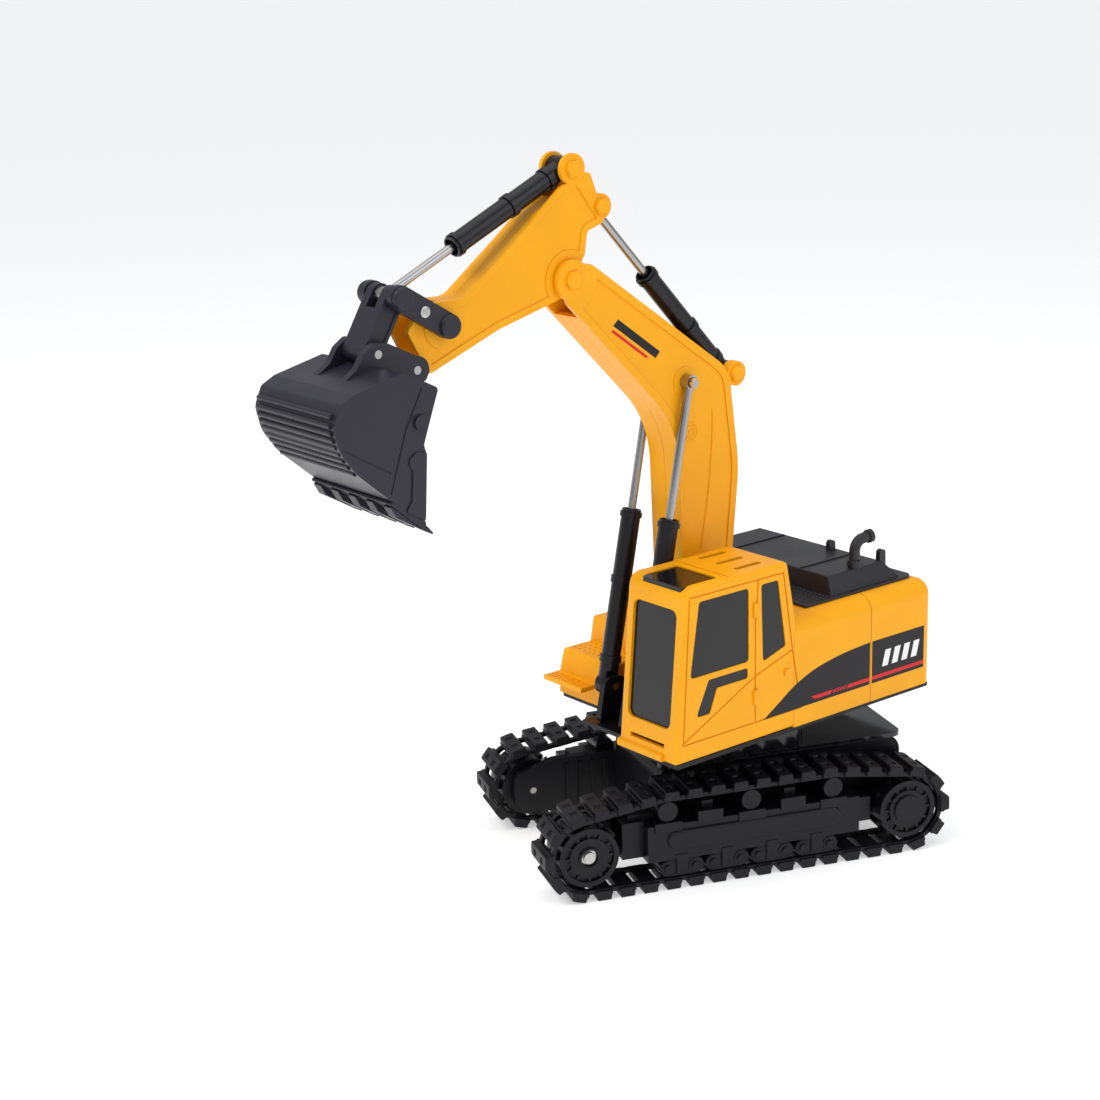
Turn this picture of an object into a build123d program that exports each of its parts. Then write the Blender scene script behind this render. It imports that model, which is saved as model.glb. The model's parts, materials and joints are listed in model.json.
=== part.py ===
"""Toy tracked excavator, 1:24 class, built as separate moulded pieces with real joints.

Undercarriage frame: +X forward along the tracks, +Y left, +Z up, on the ground, swing axis at x = y = 0.
House frame: the same axes before the house is turned to its rest heading about the swing axis.
"""
from build123d import *
import math
import os

os.makedirs("parts", exist_ok=True)

# ---------------------------------------------------------------- driving dimensions, mm
WHEELBASE = 143.0            # idler axle to sprocket axle
TRACK_GAUGE = 82.4           # centre to centre of the two tracks
TRACK_WIDTH = 20.0           # pad length across the track
BELT_INNER_R = 14.6          # belt's inner face where it wraps the end wheels
RAIL_T = 1.8                 # belt side rail, radial
PAD_T = 2.9                  # pad above the rail
PAD_LENGTH = 7.4             # along the belt
PAD_COUNT = 38
ROLLER_R = 4.3               # return roller
ROLLER_PITCH = 37.0
BELT_ARCH = 4.9              # rise of the belt over the return rollers

HOUSE_BOTTOM = 62.0
HOUSE_HALF_WIDTH = 50.4
HOUSE_REAR = 87.0            # swing axis to the rear face
HOUSE_SPLIT = 48.0           # swing axis to the joint between body shell and rear shell
BODY_TOP = 109.0
CAB_FRONT = 63.7
CAB_FRONT_TOP = 57.0
CAB_REAR_TOP = 1.5
CAB_REAR_LOW = -3.5
CAB_TOP = 134.4
CAB_RIGHT = 15.0             # cab's right wall, left of the centre plane
WALL = 2.0                   # moulded shell wall
SWING_AT_REST = 21.4         # house heading at rest, degrees anticlockwise seen from above

BOOM_PLANE = -1.5            # centre plane of the boom, stick and bucket
BOOM_HALF = 9.2
STICK_HALF = 6.6
ARM_T = 3.2                  # rocker arms and bucket ears
CYLINDER_OFFSET = 11.7       # boom cylinders from the boom's centre plane
SHELL_T = 2.2                # wall of the boom and stick halves

FOOT = (8.0, 92.0)           # boom foot pin, (x, z) in the house frame
RAM_BASE = (45.5, 76.5)      # boom cylinder base pin
RAM_TOP = (18.5, 205.3)      # boom cylinder rod pin
ELBOW = (76.0, 253.3)        # boom to stick pin
STICK_RAM_BASE = (-10.3, 204.4)
STICK_RAM_TOP = (59.2, 279.8)
BUCKET_RAM_BASE = (73.1, 295.3)
ROCKER_PIVOT = (136.3, 243.5)
ROCKER_TIP = (157.5, 256.5)  # bucket cylinder rod, rocker and link meet here
BUCKET_PIVOT = (151.7, 229.3)
LINK_FOOT = (168.7, 237.5)   # link to bucket ear

PIN_R = 1.6
ROD_R = 1.75
BARREL_BORE_R = 3.45         # leaves room for the rod to lean as the linkage moves
BARREL_R = 4.1
COLLAR_R = 4.7
RAM_BARREL = 75.0
STICK_BARREL = 62.0
BUCKET_BARREL = 59.0
RAM_ROD = 65.0
STICK_ROD = 65.5
BUCKET_ROD = 47.5

BUCKET_HALF = 26.0
BUCKET_T = 1.8

RUN_GAP = 0.06               # radial running clearance, pin in hole
SIDE_GAP = 0.4               # beside a part that turns
SEAT_GAP = 0.1               # between pieces fixed to each other
PIVOT_SLACK = 1.45           # opened pivot of the bucket linkage

nodes = {}


# ---------------------------------------------------------------- helpers
def block(x0, x1, y0, y1, z0, z1):
    """Rectangular block between two corners."""
    centre = Pos((x0 + x1) / 2, (y0 + y1) / 2, (z0 + z1) / 2)
    return centre * Box(abs(x1 - x0), abs(y1 - y0), abs(z1 - z0))


def slab(face, y0, y1):
    """Side-view face, drawn in (x, z), carried across the machine from y0 to y1."""
    return extrude(Plane.XZ.offset(-y1) * face, amount=y1 - y0)


def bar_y(point, radius, y0, y1):
    """Round bar lying across the machine."""
    return Pos(point[0], (y0 + y1) / 2, point[1]) * Rot(90, 0, 0) * Cylinder(radius, abs(y1 - y0))


def bar_z(x, y, radius, z0, z1):
    """Round bar standing up."""
    return Pos(x, y, (z0 + z1) / 2) * Cylinder(radius, z1 - z0)


def disc(point, radius):
    """Filled circle in the side view."""
    return Pos(point[0], point[1]) * Circle(radius)


def outline(points, radii):
    """Filled side-view polygon with each corner rounded."""
    return make_face(FilletPolyline(*points, radius=radii, close=True))


def along(start, end, distance):
    """Point on the way from start to end, in the side view."""
    length = math.dist(start, end)
    return tuple(a + (b - a) * distance / length for a, b in zip(start, end))


def heading(start, end):
    """Angle of a side-view line above +X, degrees."""
    return math.degrees(math.atan2(end[1] - start[1], end[0] - start[0]))


def bar_between(start, end, y, radius, a, b):
    """Round bar in the side plane at y, covering distances a to b from start towards end."""
    lean = 90 - heading(start, end)
    mid = along(start, end, (a + b) / 2)
    return Pos(mid[0], y, mid[1]) * Rot(0, lean, 0) * Cylinder(radius, b - a)


def spaced(point, radius, count, shape):
    """Copies of a side-view shape evenly spaced round a point."""
    copies = [Pos(*point) * spot * shape for spot in PolarLocations(radius, count)]
    return Sketch() + copies


def on_house(shape):
    """Turn a house-frame shape to the rest heading."""
    return Rot(0, 0, SWING_AT_REST) * shape


def fuse(*shapes):
    """One solid from several."""
    whole = shapes[0]
    for shape in shapes[1:]:
        whole = whole + shape
    return whole


# ---------------------------------------------------------------- undercarriage
HALF_BASE = WHEELBASE / 2
AXLE_Z = BELT_INNER_R + RAIL_T + PAD_T
TRACK_Y = TRACK_GAUGE / 2
BELT_IN = TRACK_Y - TRACK_WIDTH / 2
BELT_OUT = TRACK_Y + TRACK_WIDTH / 2
ROLLER_Z = AXLE_Z + BELT_INNER_R + BELT_ARCH - 0.5 - ROLLER_R
RAIL_W = 2.4
CHASSIS_HALF = BELT_IN - 4.3
CHASSIS_LONG = HALF_BASE + 7.0
CHASSIS_FRONT = 33.0         # the chassis stops just ahead of the turntable
DECK_HALF = BELT_IN - 1.2
DECK_Z = 46.5
TOWER_HALF = 31.0
TOWER_TOP = 57.0


def belt_path(grow):
    """Closed belt outline: wraps both end wheels and the return rollers."""
    rings = [(HALF_BASE, AXLE_Z, BELT_INNER_R), (-HALF_BASE, AXLE_Z, BELT_INNER_R)]
    top = AXLE_Z + BELT_INNER_R + BELT_ARCH
    rings += [(x, top - ROLLER_R * 2, ROLLER_R * 2) for x in (-ROLLER_PITCH, ROLLER_PITCH)]
    edges = [(Pos(x, z) * Circle(r + grow)).edges()[0] for x, z, r in rings]
    return make_hull(edges)


def belt():
    """Left rubber track: two side rails joined by evenly spaced pads with raised treads."""
    rail_y = TRACK_WIDTH / 2 - 2.6
    ring = belt_path(RAIL_T) - belt_path(0)
    rails = [slab(ring, TRACK_Y + y - RAIL_W / 2, TRACK_Y + y + RAIL_W / 2) for y in (-rail_y, rail_y)]
    loop = belt_path(RAIL_T / 2).wire()
    sole = Pos(0, 0.5) * Rectangle(PAD_LENGTH, RAIL_T)
    tread = Pos(0, (RAIL_T + PAD_T) / 2) * Rectangle(PAD_LENGTH - 1.0, PAD_T)
    reach = belt_path(RAIL_T + PAD_T)
    pads = []
    for index in range(PAD_COUNT):
        at = loop @ (index / PAD_COUNT)
        way = loop % (index / PAD_COUNT)
        turn = math.degrees(math.atan2(way.Y, way.X))
        face = Pos(at.X, at.Y) * Rot(0, 0, turn) * (sole + tread) & reach
        pads.append(slab(face, BELT_IN, BELT_OUT))
    return rails[0].fuse(rails[1], *pads)


def side_frame():
    """Left side frame: inner plate, box with a long rounded ridge, moulded rollers in joined pairs."""
    inner = BELT_IN - 1.0
    face = BELT_OUT - 1.6
    low = 12.6
    high = 28.4
    bottom = AXLE_Z - BELT_INNER_R + 0.9
    body = block(-49, 46, inner, face, low, high)
    body += block(-56.5, -49, inner, face - 5, low + 2, high - 3)
    body += block(46, 55.5, inner, face - 5, low + 1, high + 1)
    body += block(38, 52, inner, face - 8, high - 3, high + 3)
    plate = outline([(-80, 12), (-80, 27), (-62, 33), (62, 33), (80, 27), (80, 12), (66, 9), (-66, 9)], 4.0)
    body += slab(plate, CHASSIS_HALF + SEAT_GAP, inner + 0.1)
    body -= bar_y((HALF_BASE, AXLE_Z), AXLE_R + 0.02, CHASSIS_HALF - 1, inner + 1)
    body -= bar_y((-HALF_BASE, AXLE_Z), AXLE_R + 0.3, CHASSIS_HALF - 1, inner + 1)
    for x in (38, 44, 50, 56):
        body += block(x - 0.7, x + 0.7, CHASSIS_HALF - 0.6, CHASSIS_HALF + 0.2, 13, 30)
    ridge = slab(SlotOverall(78, 8.4).moved(Location((-1.5, 21.4))), face, face + 1.3)
    body += fillet(ridge.edges().filter_by(GeomType.BSPLINE) or ridge.faces().sort_by(Axis.Y)[-1].edges(), 1.0)
    for x in (-ROLLER_PITCH, 0, ROLLER_PITCH):
        body += bar_y((x, ROLLER_Z), ROLLER_R, inner, face - 0.4)
        body += block(x - 2.2, x + 2.2, inner, face - 3, high - 1, ROLLER_Z)
        body += block(x - 6, x + 6, face - 6, face + 0.6, high - 3, high + 1.1)
    for x in (-ROLLER_PITCH / 2, ROLLER_PITCH / 2):
        body += block(x - 5.5, x + 5.5, face - 4, face + 0.6, high - 1, high + 4.2)
        body += block(x - 2.5, x + 2.5, face - 7, face - 3.5, high + 3, high + 7)
    wheel = 3.2
    for pair in range(4):
        x = -29.5 + pair * 20.2
        oval = Pos(x, bottom + wheel) * SlotOverall(19.4, 7.2)
        body += slab(oval, inner, face - 0.3)
        body += block(x - 2.6, x + 2.6, inner, face + 0.4, bottom + 0.8, low + 2)
        for dx in (-6.1, 6.1):
            body += bar_y((x + dx, bottom + wheel), wheel, inner, face)
            body += bar_y((x + dx, bottom + wheel), 1.7, face - 0.1, face + 0.7)
    return body


def drive_wheel(x, teeth, reach):
    """Left end wheel with a stepped outer face; teeth stay just inside the belt."""
    rim = BELT_INNER_R - 0.35
    core = rim - 1.5
    at = (x, AXLE_Z)
    wheel = bar_y(at, core, BELT_IN + 1.2, BELT_OUT - 1.2)
    crown = spaced(at, core + 0.4, teeth, Rectangle(2.4, 2.0)) & disc(at, rim)
    wheel = wheel.fuse(*slab(crown, TRACK_Y - 4.4, TRACK_Y + 4.4).solids())
    face = BELT_OUT - 1.2
    wheel -= bar_y(at, 10.6, face - 1.4, face + 1) - bar_y(at, 8.4, face - 1.4, face + 1)
    wheel += bar_y(at, reach, face - 1.4, face + 1.0)
    ribs = spaced(at, 9.5, 12, Rectangle(2.4, 1.2))
    wheel = wheel.fuse(*slab(ribs, face - 1.5, face - 0.5).solids())
    return wheel


AXLE_R = 1.5
tracks = {"left": 1, "right": -1}


def mirrored(shape, side):
    """The shape itself on the left, its mirror image on the right."""
    return shape if side > 0 else mirror(shape, about=Plane.XZ)


LEFT_BELT = belt()
LEFT_FRAME = side_frame()
SPROCKET_X = -HALF_BASE
BORE = AXLE_R + RUN_GAP
LEFT_SPROCKET = drive_wheel(SPROCKET_X, 12, 6.2) - bar_y((SPROCKET_X, AXLE_Z), AXLE_R + 0.01, 0, BELT_OUT - 4)
IDLER_Y = BELT_OUT - 3.2
LEFT_IDLER = drive_wheel(HALF_BASE, 12, 4.6) - bar_y((HALF_BASE, AXLE_Z), BORE, 0, BELT_OUT + 2)
LEFT_IDLER -= bar_y((HALF_BASE, AXLE_Z), 3.7, IDLER_Y, BELT_OUT + 2)
AXLE_IN = 12.0
LEFT_DRIVE_AXLE = bar_y((SPROCKET_X, AXLE_Z), AXLE_R, AXLE_IN, BELT_OUT - 4.1)
screw = bar_y((HALF_BASE, AXLE_Z), AXLE_R, CHASSIS_HALF + 0.4, IDLER_Y + 0.3)
screw += bar_y((HALF_BASE, AXLE_Z), 3.4, IDLER_Y + 0.25, IDLER_Y + 0.95)
screw += bar_y((HALF_BASE, AXLE_Z), 2.4, IDLER_Y + 0.9, IDLER_Y + 2.4)
for name, side in tracks.items():
    nodes["track_" + name] = mirrored(LEFT_BELT, side)
    nodes["side_frame_" + name] = mirrored(LEFT_FRAME, side)
    nodes["sprocket_" + name] = mirrored(LEFT_SPROCKET, side)
    nodes["idler_" + name] = mirrored(LEFT_IDLER, side)
    nodes["drive_axle_" + name] = mirrored(LEFT_DRIVE_AXLE, side)
nodes["idler_screws"] = Compound([screw, mirror(screw, about=Plane.XZ)])

# chassis: a hollow box between the tracks, deck on top, battery bay below
FLOOR_Z = 8.0
DECK_T = 2.0
BAY = (-21.0, 29.0, -19.0, 19.0)
chassis = block(-CHASSIS_LONG, CHASSIS_FRONT, -CHASSIS_HALF, CHASSIS_HALF, FLOOR_Z, DECK_Z - DECK_T)
chassis = fillet(chassis.edges().filter_by(Axis.Y), 7.0)
cavity = block(-CHASSIS_LONG + 2.5, CHASSIS_FRONT - 2.5, -CHASSIS_HALF + 2, CHASSIS_HALF - 2, FLOOR_Z + 2, DECK_Z)
chassis -= fillet(cavity.edges().filter_by(Axis.Y), 4.0)
chassis -= block(*BAY, FLOOR_Z - 1, FLOOR_Z + 3)
for side in (1, -1):
    chassis -= bar_y((SPROCKET_X, AXLE_Z), AXLE_R + 0.3, side * (CHASSIS_HALF - 3), side * (CHASSIS_HALF + 1))
SWITCH = (-62.0, 0.0)        # underside slide switch, (x, y)
SWITCH_TRAVEL = 3.0
chassis -= block(SWITCH[0] - 4.5, SWITCH[0] + 4.5, SWITCH[1] - 1.6, SWITCH[1] + 1.6, FLOOR_Z - 1, FLOOR_Z + 3)
SCREWS = [(x, y) for x in (-58.0, -40.0, 26.0) for y in (-22.6, 22.6)]
for x, y in SCREWS:
    chassis += bar_z(x, y, 3.4, FLOOR_Z + 1, DECK_Z - DECK_T - 0.2)
    chassis -= bar_z(x, y, 2.6, FLOOR_Z - 1, FLOOR_Z + 2.1)
    chassis -= bar_z(x, y, 1.22, FLOOR_Z, DECK_Z - 12)
nodes["chassis_frame"] = chassis
head = [bar_z(x, y, 2.4, FLOOR_Z + 0.6, FLOOR_Z + 2.0) + bar_z(x, y, 1.2, FLOOR_Z + 1.9, DECK_Z - 14)
        for x, y in SCREWS]
nodes["chassis_screws"] = Compound(head)

deck = block(-CHASSIS_LONG, CHASSIS_FRONT, -DECK_HALF, DECK_HALF, DECK_Z - DECK_T + SEAT_GAP, DECK_Z)
deck = fillet(deck.edges().filter_by(Axis.Z), 5.0)
deck -= bar_z(0, 0, 22, DECK_Z - 5, DECK_Z + 1)
nodes["chassis_deck"] = deck
tower = extrude(RectangleRounded(2 * TOWER_HALF + 3, 2 * TOWER_HALF, 5), amount=TOWER_TOP - DECK_Z - SEAT_GAP)
tower = Pos(0, 0, DECK_Z + SEAT_GAP) * tower
tower -= Pos(0, 0, DECK_Z - 1) * extrude(RectangleRounded(2 * TOWER_HALF - 2, 2 * TOWER_HALF - 4, 4), amount=8)
tower -= bar_z(0, 0, 17.0, DECK_Z, TOWER_TOP + 1)
nodes["turntable_base"] = tower

door = block(BAY[0] + 0.2, BAY[1] - 0.2, BAY[2] + 0.2, BAY[3] - 0.2, FLOOR_Z, FLOOR_Z + 1.9)
for step in range(5):
    x = BAY[1] - 8 - step * 2.0
    door -= block(x, x + 0.8, -7, 7, FLOOR_Z - 1, FLOOR_Z + 0.5)
nodes["battery_door"] = door
CELL_R = 6.2
cells = [Pos(5, y, FLOOR_Z + 3.4 + CELL_R) * Rot(0, 90, 0) * Cylinder(CELL_R, 46) for y in (-12.6, 0, 12.6)]
strap = block(-16, 26, -18.0, 18.0, FLOOR_Z + 3.4 + CELL_R - 1, FLOOR_Z + 3.4 + CELL_R + 1)
nodes["battery_pack"] = fuse(*cells, strap)
knob = block(SWITCH[0] - 3.9, SWITCH[0] - 0.9, SWITCH[1] - 1.3, SWITCH[1] + 1.3, FLOOR_Z - 1.2, FLOOR_Z + 2.4)
knob += block(SWITCH[0] - 4.2, SWITCH[0] - 0.6, SWITCH[1] - 2.6, SWITCH[1] + 2.6, FLOOR_Z + 2.3, FLOOR_Z + 3.6)
nodes["power_switch"] = knob

GEARBOX_X = (-75.6, -46.0)
gearbox = block(*GEARBOX_X, 3.4, 18.6, FLOOR_Z + 2.4, 33.0)
gearbox = fillet(gearbox.edges().filter_by(Axis.Y), 3.0)
gearbox -= bar_y((SPROCKET_X, AXLE_Z), BORE, AXLE_IN - 1, CHASSIS_HALF)
motor = Pos(-32.0, 11.0, 23.0) * Rot(0, 90, 0) * (Cylinder(7.5, 25) & Box(12, 40, 40))
motor += Pos(-44.9, 11.0, 23.0) * Rot(0, 90, 0) * Cylinder(2.5, 1.6)
for name, side in tracks.items():
    nodes["drive_gearbox_" + name] = mirrored(gearbox, side)
    nodes["drive_motor_" + name] = mirrored(motor, side)

# ---------------------------------------------------------------- swing drive
SUN_TEETH = 40
PINION_TEETH = 12
MODULE = 1.0
TOOTH_W = 1.6                # at the root, thin enough for easy backlash
SUN_R = SUN_TEETH * MODULE / 2
PINION_GEAR_R = PINION_TEETH * MODULE / 2
GEAR_Z = (TOWER_TOP + SEAT_GAP, TOWER_TOP + 2.6)
FLOOR_TOP = HOUSE_BOTTOM
FLOOR_UNDER = 60.0


def gear(teeth, spread, phase):
    """Spur gear outline with straight-sided, generously backlashed teeth."""
    pitch = teeth * MODULE / 2
    tooth = Pos(pitch - 0.35, 0) * Rot(0, 0, 90) * Trapezoid(spread, 1.7, 72)
    ring = Circle(pitch - 1.15)
    for index in range(teeth):
        ring += Rot(0, 0, phase + index * 360 / teeth) * tooth
    return ring


sun = extrude(gear(SUN_TEETH, TOOTH_W, SWING_AT_REST), amount=GEAR_Z[1] - GEAR_Z[0])
sun = Pos(0, 0, GEAR_Z[0]) * sun
sun -= bar_z(0, 0, 14.0, 40, 80)
sun += bar_z(0, 0, 16.9, TOWER_TOP - 4, GEAR_Z[0] + 0.1) - bar_z(0, 0, 14.0, 40, 80)
nodes["swing_gear"] = sun
PINION_X = -(SUN_R + PINION_GEAR_R + 0.1)
pinion = extrude(gear(PINION_TEETH, TOOTH_W, 180.0 / PINION_TEETH), amount=GEAR_Z[1] - GEAR_Z[0] - 0.4)
pinion = Pos(PINION_X, 0, GEAR_Z[0] + 0.2) * pinion
pinion += bar_z(PINION_X, 0, 1.5, GEAR_Z[0] + 0.3, 66)
nodes["swing_pinion"] = pinion
SWING_RATIO = SUN_TEETH / PINION_TEETH

# ---------------------------------------------------------------- house
CH_LEFT = CAB_RIGHT - 0.4                    # boom channel, between cab and platform
CH_RIGHT = BOOM_PLANE - (CAB_RIGHT - BOOM_PLANE)
PLATFORM_FRONT = 41.0
CHANNEL_Z = 68.0
BOOM_BAY_X = -12.0
LIP = (72.0, 50.0)

floor = block(-HOUSE_REAR + 1.5, 56, -HOUSE_HALF_WIDTH + 1, HOUSE_HALF_WIDTH - 1, FLOOR_UNDER, FLOOR_TOP - SEAT_GAP)
floor -= block(PLATFORM_FRONT - 1, 70, -60, CH_RIGHT + 1, 50, 70)
floor += block(50, CAB_FRONT - 1.2, CAB_RIGHT, HOUSE_HALF_WIDTH - 1, FLOOR_UNDER, FLOOR_TOP - SEAT_GAP)
floor -= bar_z(0, 0, 12.2, 50, 70)
floor -= bar_z(PINION_X, 0, 1.5 + RUN_GAP, 50, 70)
COLLAR = bar_z(0, 0, 13.9 - 0.1, TOWER_TOP - 6, FLOOR_UNDER + 0.1) - bar_z(0, 0, 12.2, 40, 80)
LIPRING = bar_z(0, 0, 19.0, TOWER_TOP - 8, TOWER_TOP - 5.9) - bar_z(0, 0, 12.2, 40, 80)
floor = fuse(floor, COLLAR, LIPRING)
FOOT_BORE = PIN_R + RUN_GAP
cheek = outline([(-6, 61.9), (22, 61.9), (15, 99), (1, 99)], 5.0)
for side in (1, -1):
    inner = BOOM_PLANE + side * (BOOM_HALF + SIDE_GAP)
    outer = BOOM_PLANE + side * (BOOM_HALF + SIDE_GAP + 3.0)
    floor += slab(cheek, min(inner, outer), max(inner, outer))
    ram = BOOM_PLANE + side * CYLINDER_OFFSET
    knee = outline([(37, 61.9), (55, 61.9), (51, 81), (41, 81)], 3.0)
    inner = ram - side * 6.0
    outer = ram - side * 3.1
    floor += slab(knee, min(inner, outer), max(inner, outer))
floor -= bar_y(FOOT, PIN_R + 0.01, BOOM_PLANE - 20, BOOM_PLANE + 20)
floor -= bar_y(RAM_BASE, PIN_R + 0.01, BOOM_PLANE - 20, BOOM_PLANE + 20)
nodes["house_floor"] = floor

cab_side = [(CAB_REAR_LOW, HOUSE_BOTTOM), (CAB_FRONT, HOUSE_BOTTOM), (CAB_FRONT_TOP, CAB_TOP),
            (CAB_REAR_TOP, CAB_TOP), (CAB_REAR_LOW, BODY_TOP)]
CAB_FACE = outline(cab_side, [0.6, 1.2, 5.5, 2.0, 2.0])
cab = slab(CAB_FACE, CAB_RIGHT, HOUSE_HALF_WIDTH)
roof_edges = cab.edges().filter_by(lambda e: e.center().Z > CAB_TOP - 6 and abs(e.tangent_at(0.5).Y) < 0.5)
cab = fillet(roof_edges.filter_by(lambda e: e.center().Z > CAB_TOP - 3), 2.2)
shoulder = 7.0


def body_section(x0, x1, y0, y1):
    """Length of the low body with rounded top edges along X."""
    body = block(x0, x1, y0, y1, HOUSE_BOTTOM, BODY_TOP)
    edges = body.edges().filter_by(Axis.X).filter_by(lambda e: e.center().Z > BODY_TOP - 1)
    return fillet(edges.filter_by(lambda e: abs(e.center().Y) > HOUSE_HALF_WIDTH - 1), shoulder)


low_body = body_section(-HOUSE_SPLIT + 0.15, BOOM_BAY_X, -HOUSE_HALF_WIDTH, HOUSE_HALF_WIDTH)
left_body = body_section(BOOM_BAY_X - 0.5, CAB_REAR_LOW + 1.5, CAB_RIGHT, HOUSE_HALF_WIDTH)
right_body = body_section(BOOM_BAY_X - 0.5, 2.0, -HOUSE_HALF_WIDTH, CH_RIGHT)
shell = fuse(cab, low_body, left_body, right_body)
cab_room = outline(cab_side, 2.0)
cab_room = slab(offset(cab_room, -WALL, kind=Kind.INTERSECTION), CAB_RIGHT + WALL, HOUSE_HALF_WIDTH - WALL)
low_room = block(-HOUSE_SPLIT - 1, BOOM_BAY_X - WALL, -HOUSE_HALF_WIDTH + WALL, HOUSE_HALF_WIDTH - WALL, 50, BODY_TOP - WALL)
low_room = fillet(low_room.edges().filter_by(Axis.X).filter_by(lambda e: e.center().Z > 90), shoulder - WALL)
left_room = block(BOOM_BAY_X - 5, CAB_REAR_LOW + 3, CAB_RIGHT + WALL, HOUSE_HALF_WIDTH - WALL, 50, BODY_TOP - WALL - 4)
right_room = block(BOOM_BAY_X - 5, 2.0 - WALL, -HOUSE_HALF_WIDTH + WALL, CH_RIGHT - WALL, 50, BODY_TOP - WALL - 4)
cab_floor = block(CAB_REAR_LOW + WALL, CAB_FRONT - WALL - 0.5, CAB_RIGHT + WALL, HOUSE_HALF_WIDTH - WALL, 50, HOUSE_BOTTOM + 5)
shell = shell - cab_room - low_room - left_room - right_room - cab_floor

GROOVE = 0.5
SIDE = HOUSE_HALF_WIDTH
DOOR_REAR = 20.3
door_window = outline([(51, 128), (24, 128), (24, 97), (56, 97)][::-1], 1.6)
rear_window = outline([(17, 128), (7.5, 128), (3, 99), (16, 95)][::-1], 1.4)
low_window = outline([(53, 80), (46, 94.5), (24.5, 94.5), (24.5, 90), (41.5, 90), (45.5, 80)], 1.2)
door_edge = Polyline((56.0, 129.5), (60.0, 70.0), (-6.0, 70.0), (-1.0, 96.0), (4.5, 130.5), (56.0, 130.5))
rear_edge = Polyline((18.6, 130.5), (DOOR_REAR, 112), (DOOR_REAR, 70.0))
brace = Polyline((59.5, 71.0), (DOOR_REAR, 90.0), (-1.0, 96.5))
grooves = [trace(line, 0.6) for line in (door_edge, rear_edge, brace)]
for face in grooves:
    shell -= slab(face, SIDE - GROOVE, SIDE + 1)
for z in (81.0, 118.0):
    shell += slab(Pos(DOOR_REAR, z) * Rectangle(2.6, 6.0), SIDE - 0.2, SIDE + 0.8)
shell += bar_y((2.6, 87.5), 1.5, SIDE - 0.2, SIDE + 0.9)
WINDOWS = [door_window, rear_window, low_window]
for face in WINDOWS:
    shell -= slab(face, SIDE - WALL - 1, SIDE + 1)
RAKE = math.degrees(math.atan2(CAB_FRONT - CAB_FRONT_TOP, CAB_TOP - HOUSE_BOTTOM))
screen_at = Plane(origin=(CAB_FRONT - 4.2, (CAB_RIGHT + SIDE) / 2 - 0.4, 100.0), x_dir=(0, 1, 0),
                  z_dir=(math.cos(math.radians(RAKE)), 0, math.sin(math.radians(RAKE))))
screen_face = RectangleRounded(25.6, 49.0, 3.2)
shell -= extrude(screen_at * screen_face, amount=4, both=True)
shell -= block(CAB_FRONT - 5, CAB_FRONT + 2, CAB_RIGHT + 7, SIDE - 8, 67.5, 69.3)
ledge = outline([(61.8, 62.05), (64.9, 62.05), (64.9, 64.8), (61.8, 65.8)], [0.3, 0.5, 0.8, 0.3])
shell += slab(ledge, CAB_RIGHT + 0.5, SIDE - 8)
SKY = (36.5, 57.5, 22.5, 46.5)
sky_face = Pos((SKY[0] + SKY[1]) / 2, (SKY[2] + SKY[3]) / 2) * RectangleRounded(19, SKY[3] - SKY[2], 1.5)
shell -= Pos(0, 0, CAB_TOP - WALL - 1) * extrude(sky_face, amount=WALL + 3)
for y in (21.8, 32.2, 42.6):
    slot = Pos(17.3, y) * SlotOverall(14.5, 2.6)
    shell -= Pos(0, 0, CAB_TOP - WALL - 1) * extrude(slot, amount=WALL + 3)
shell -= block(33.2, 33.8, CAB_RIGHT + 2, SIDE - 2, CAB_TOP - 0.5, CAB_TOP + 1)
right_pane = outline([(48, 126), (14, 126), (12, 100), (52, 100)][::-1], 2.0)
shell -= slab(right_pane, CAB_RIGHT - 1, CAB_RIGHT + WALL + 1)
nodes["body_shell"] = shell

# windows: dark inserts behind the shell, each pane standing up into its opening
PANE_GAP = 0.12
PANE_SINK = 0.35
insert = block(6, 59, SIDE - WALL - 1.5, SIDE - WALL - SEAT_GAP, 76, 130)
insert &= slab(offset(outline(cab_side, 2.0), -WALL - 1.2, kind=Kind.INTERSECTION), 0, 60)
for face in WINDOWS:
    insert += slab(offset(face, -PANE_GAP), SIDE - WALL - 0.6, SIDE - PANE_SINK)
nodes["left_windows"] = insert
right_insert = block(10, 54, CAB_RIGHT + WALL + SEAT_GAP, CAB_RIGHT + WALL + 1.4, 95, 129)
right_insert += slab(offset(right_pane, -PANE_GAP), CAB_RIGHT + PANE_SINK, CAB_RIGHT + WALL + 0.6)
nodes["right_window"] = right_insert
screen_back = Plane(screen_at.location * Location((0, 0, -0.6)))
nodes["windshield"] = extrude(screen_back * offset(screen_face, -PANE_GAP), amount=-2.0)
roof_pane = Pos(0, 0, CAB_TOP - WALL - 0.2) * extrude(offset(sky_face, -PANE_GAP), amount=WALL - 0.3)
nodes["roof_window"] = roof_pane

# rear shell: tail of the body with a small service hatch recess
rear = body_section(-HOUSE_REAR, -HOUSE_SPLIT - 0.15, -SIDE, SIDE)
corners = rear.edges().filter_by(Axis.Z).filter_by(lambda e: e.center().X < -HOUSE_REAR + 1)
rear = fillet(corners, 5.0)
rear_room = block(-HOUSE_REAR + WALL, -HOUSE_SPLIT + 1, -SIDE + WALL, SIDE - WALL, 50, BODY_TOP - WALL)
rear -= fillet(rear_room.edges().filter_by(Axis.X).filter_by(lambda e: e.center().Z > 90), shoulder - WALL)
rear -= block(-57.0, -50.5, SIDE - 0.6, SIDE + 1, 84.0, 88.5)
for z in (74, 80, 86, 92, 98):
    rear -= block(-HOUSE_REAR - 1, -HOUSE_REAR + 0.6, -30, 30, z, z + 2.2)
nodes["rear_shell"] = rear

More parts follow.
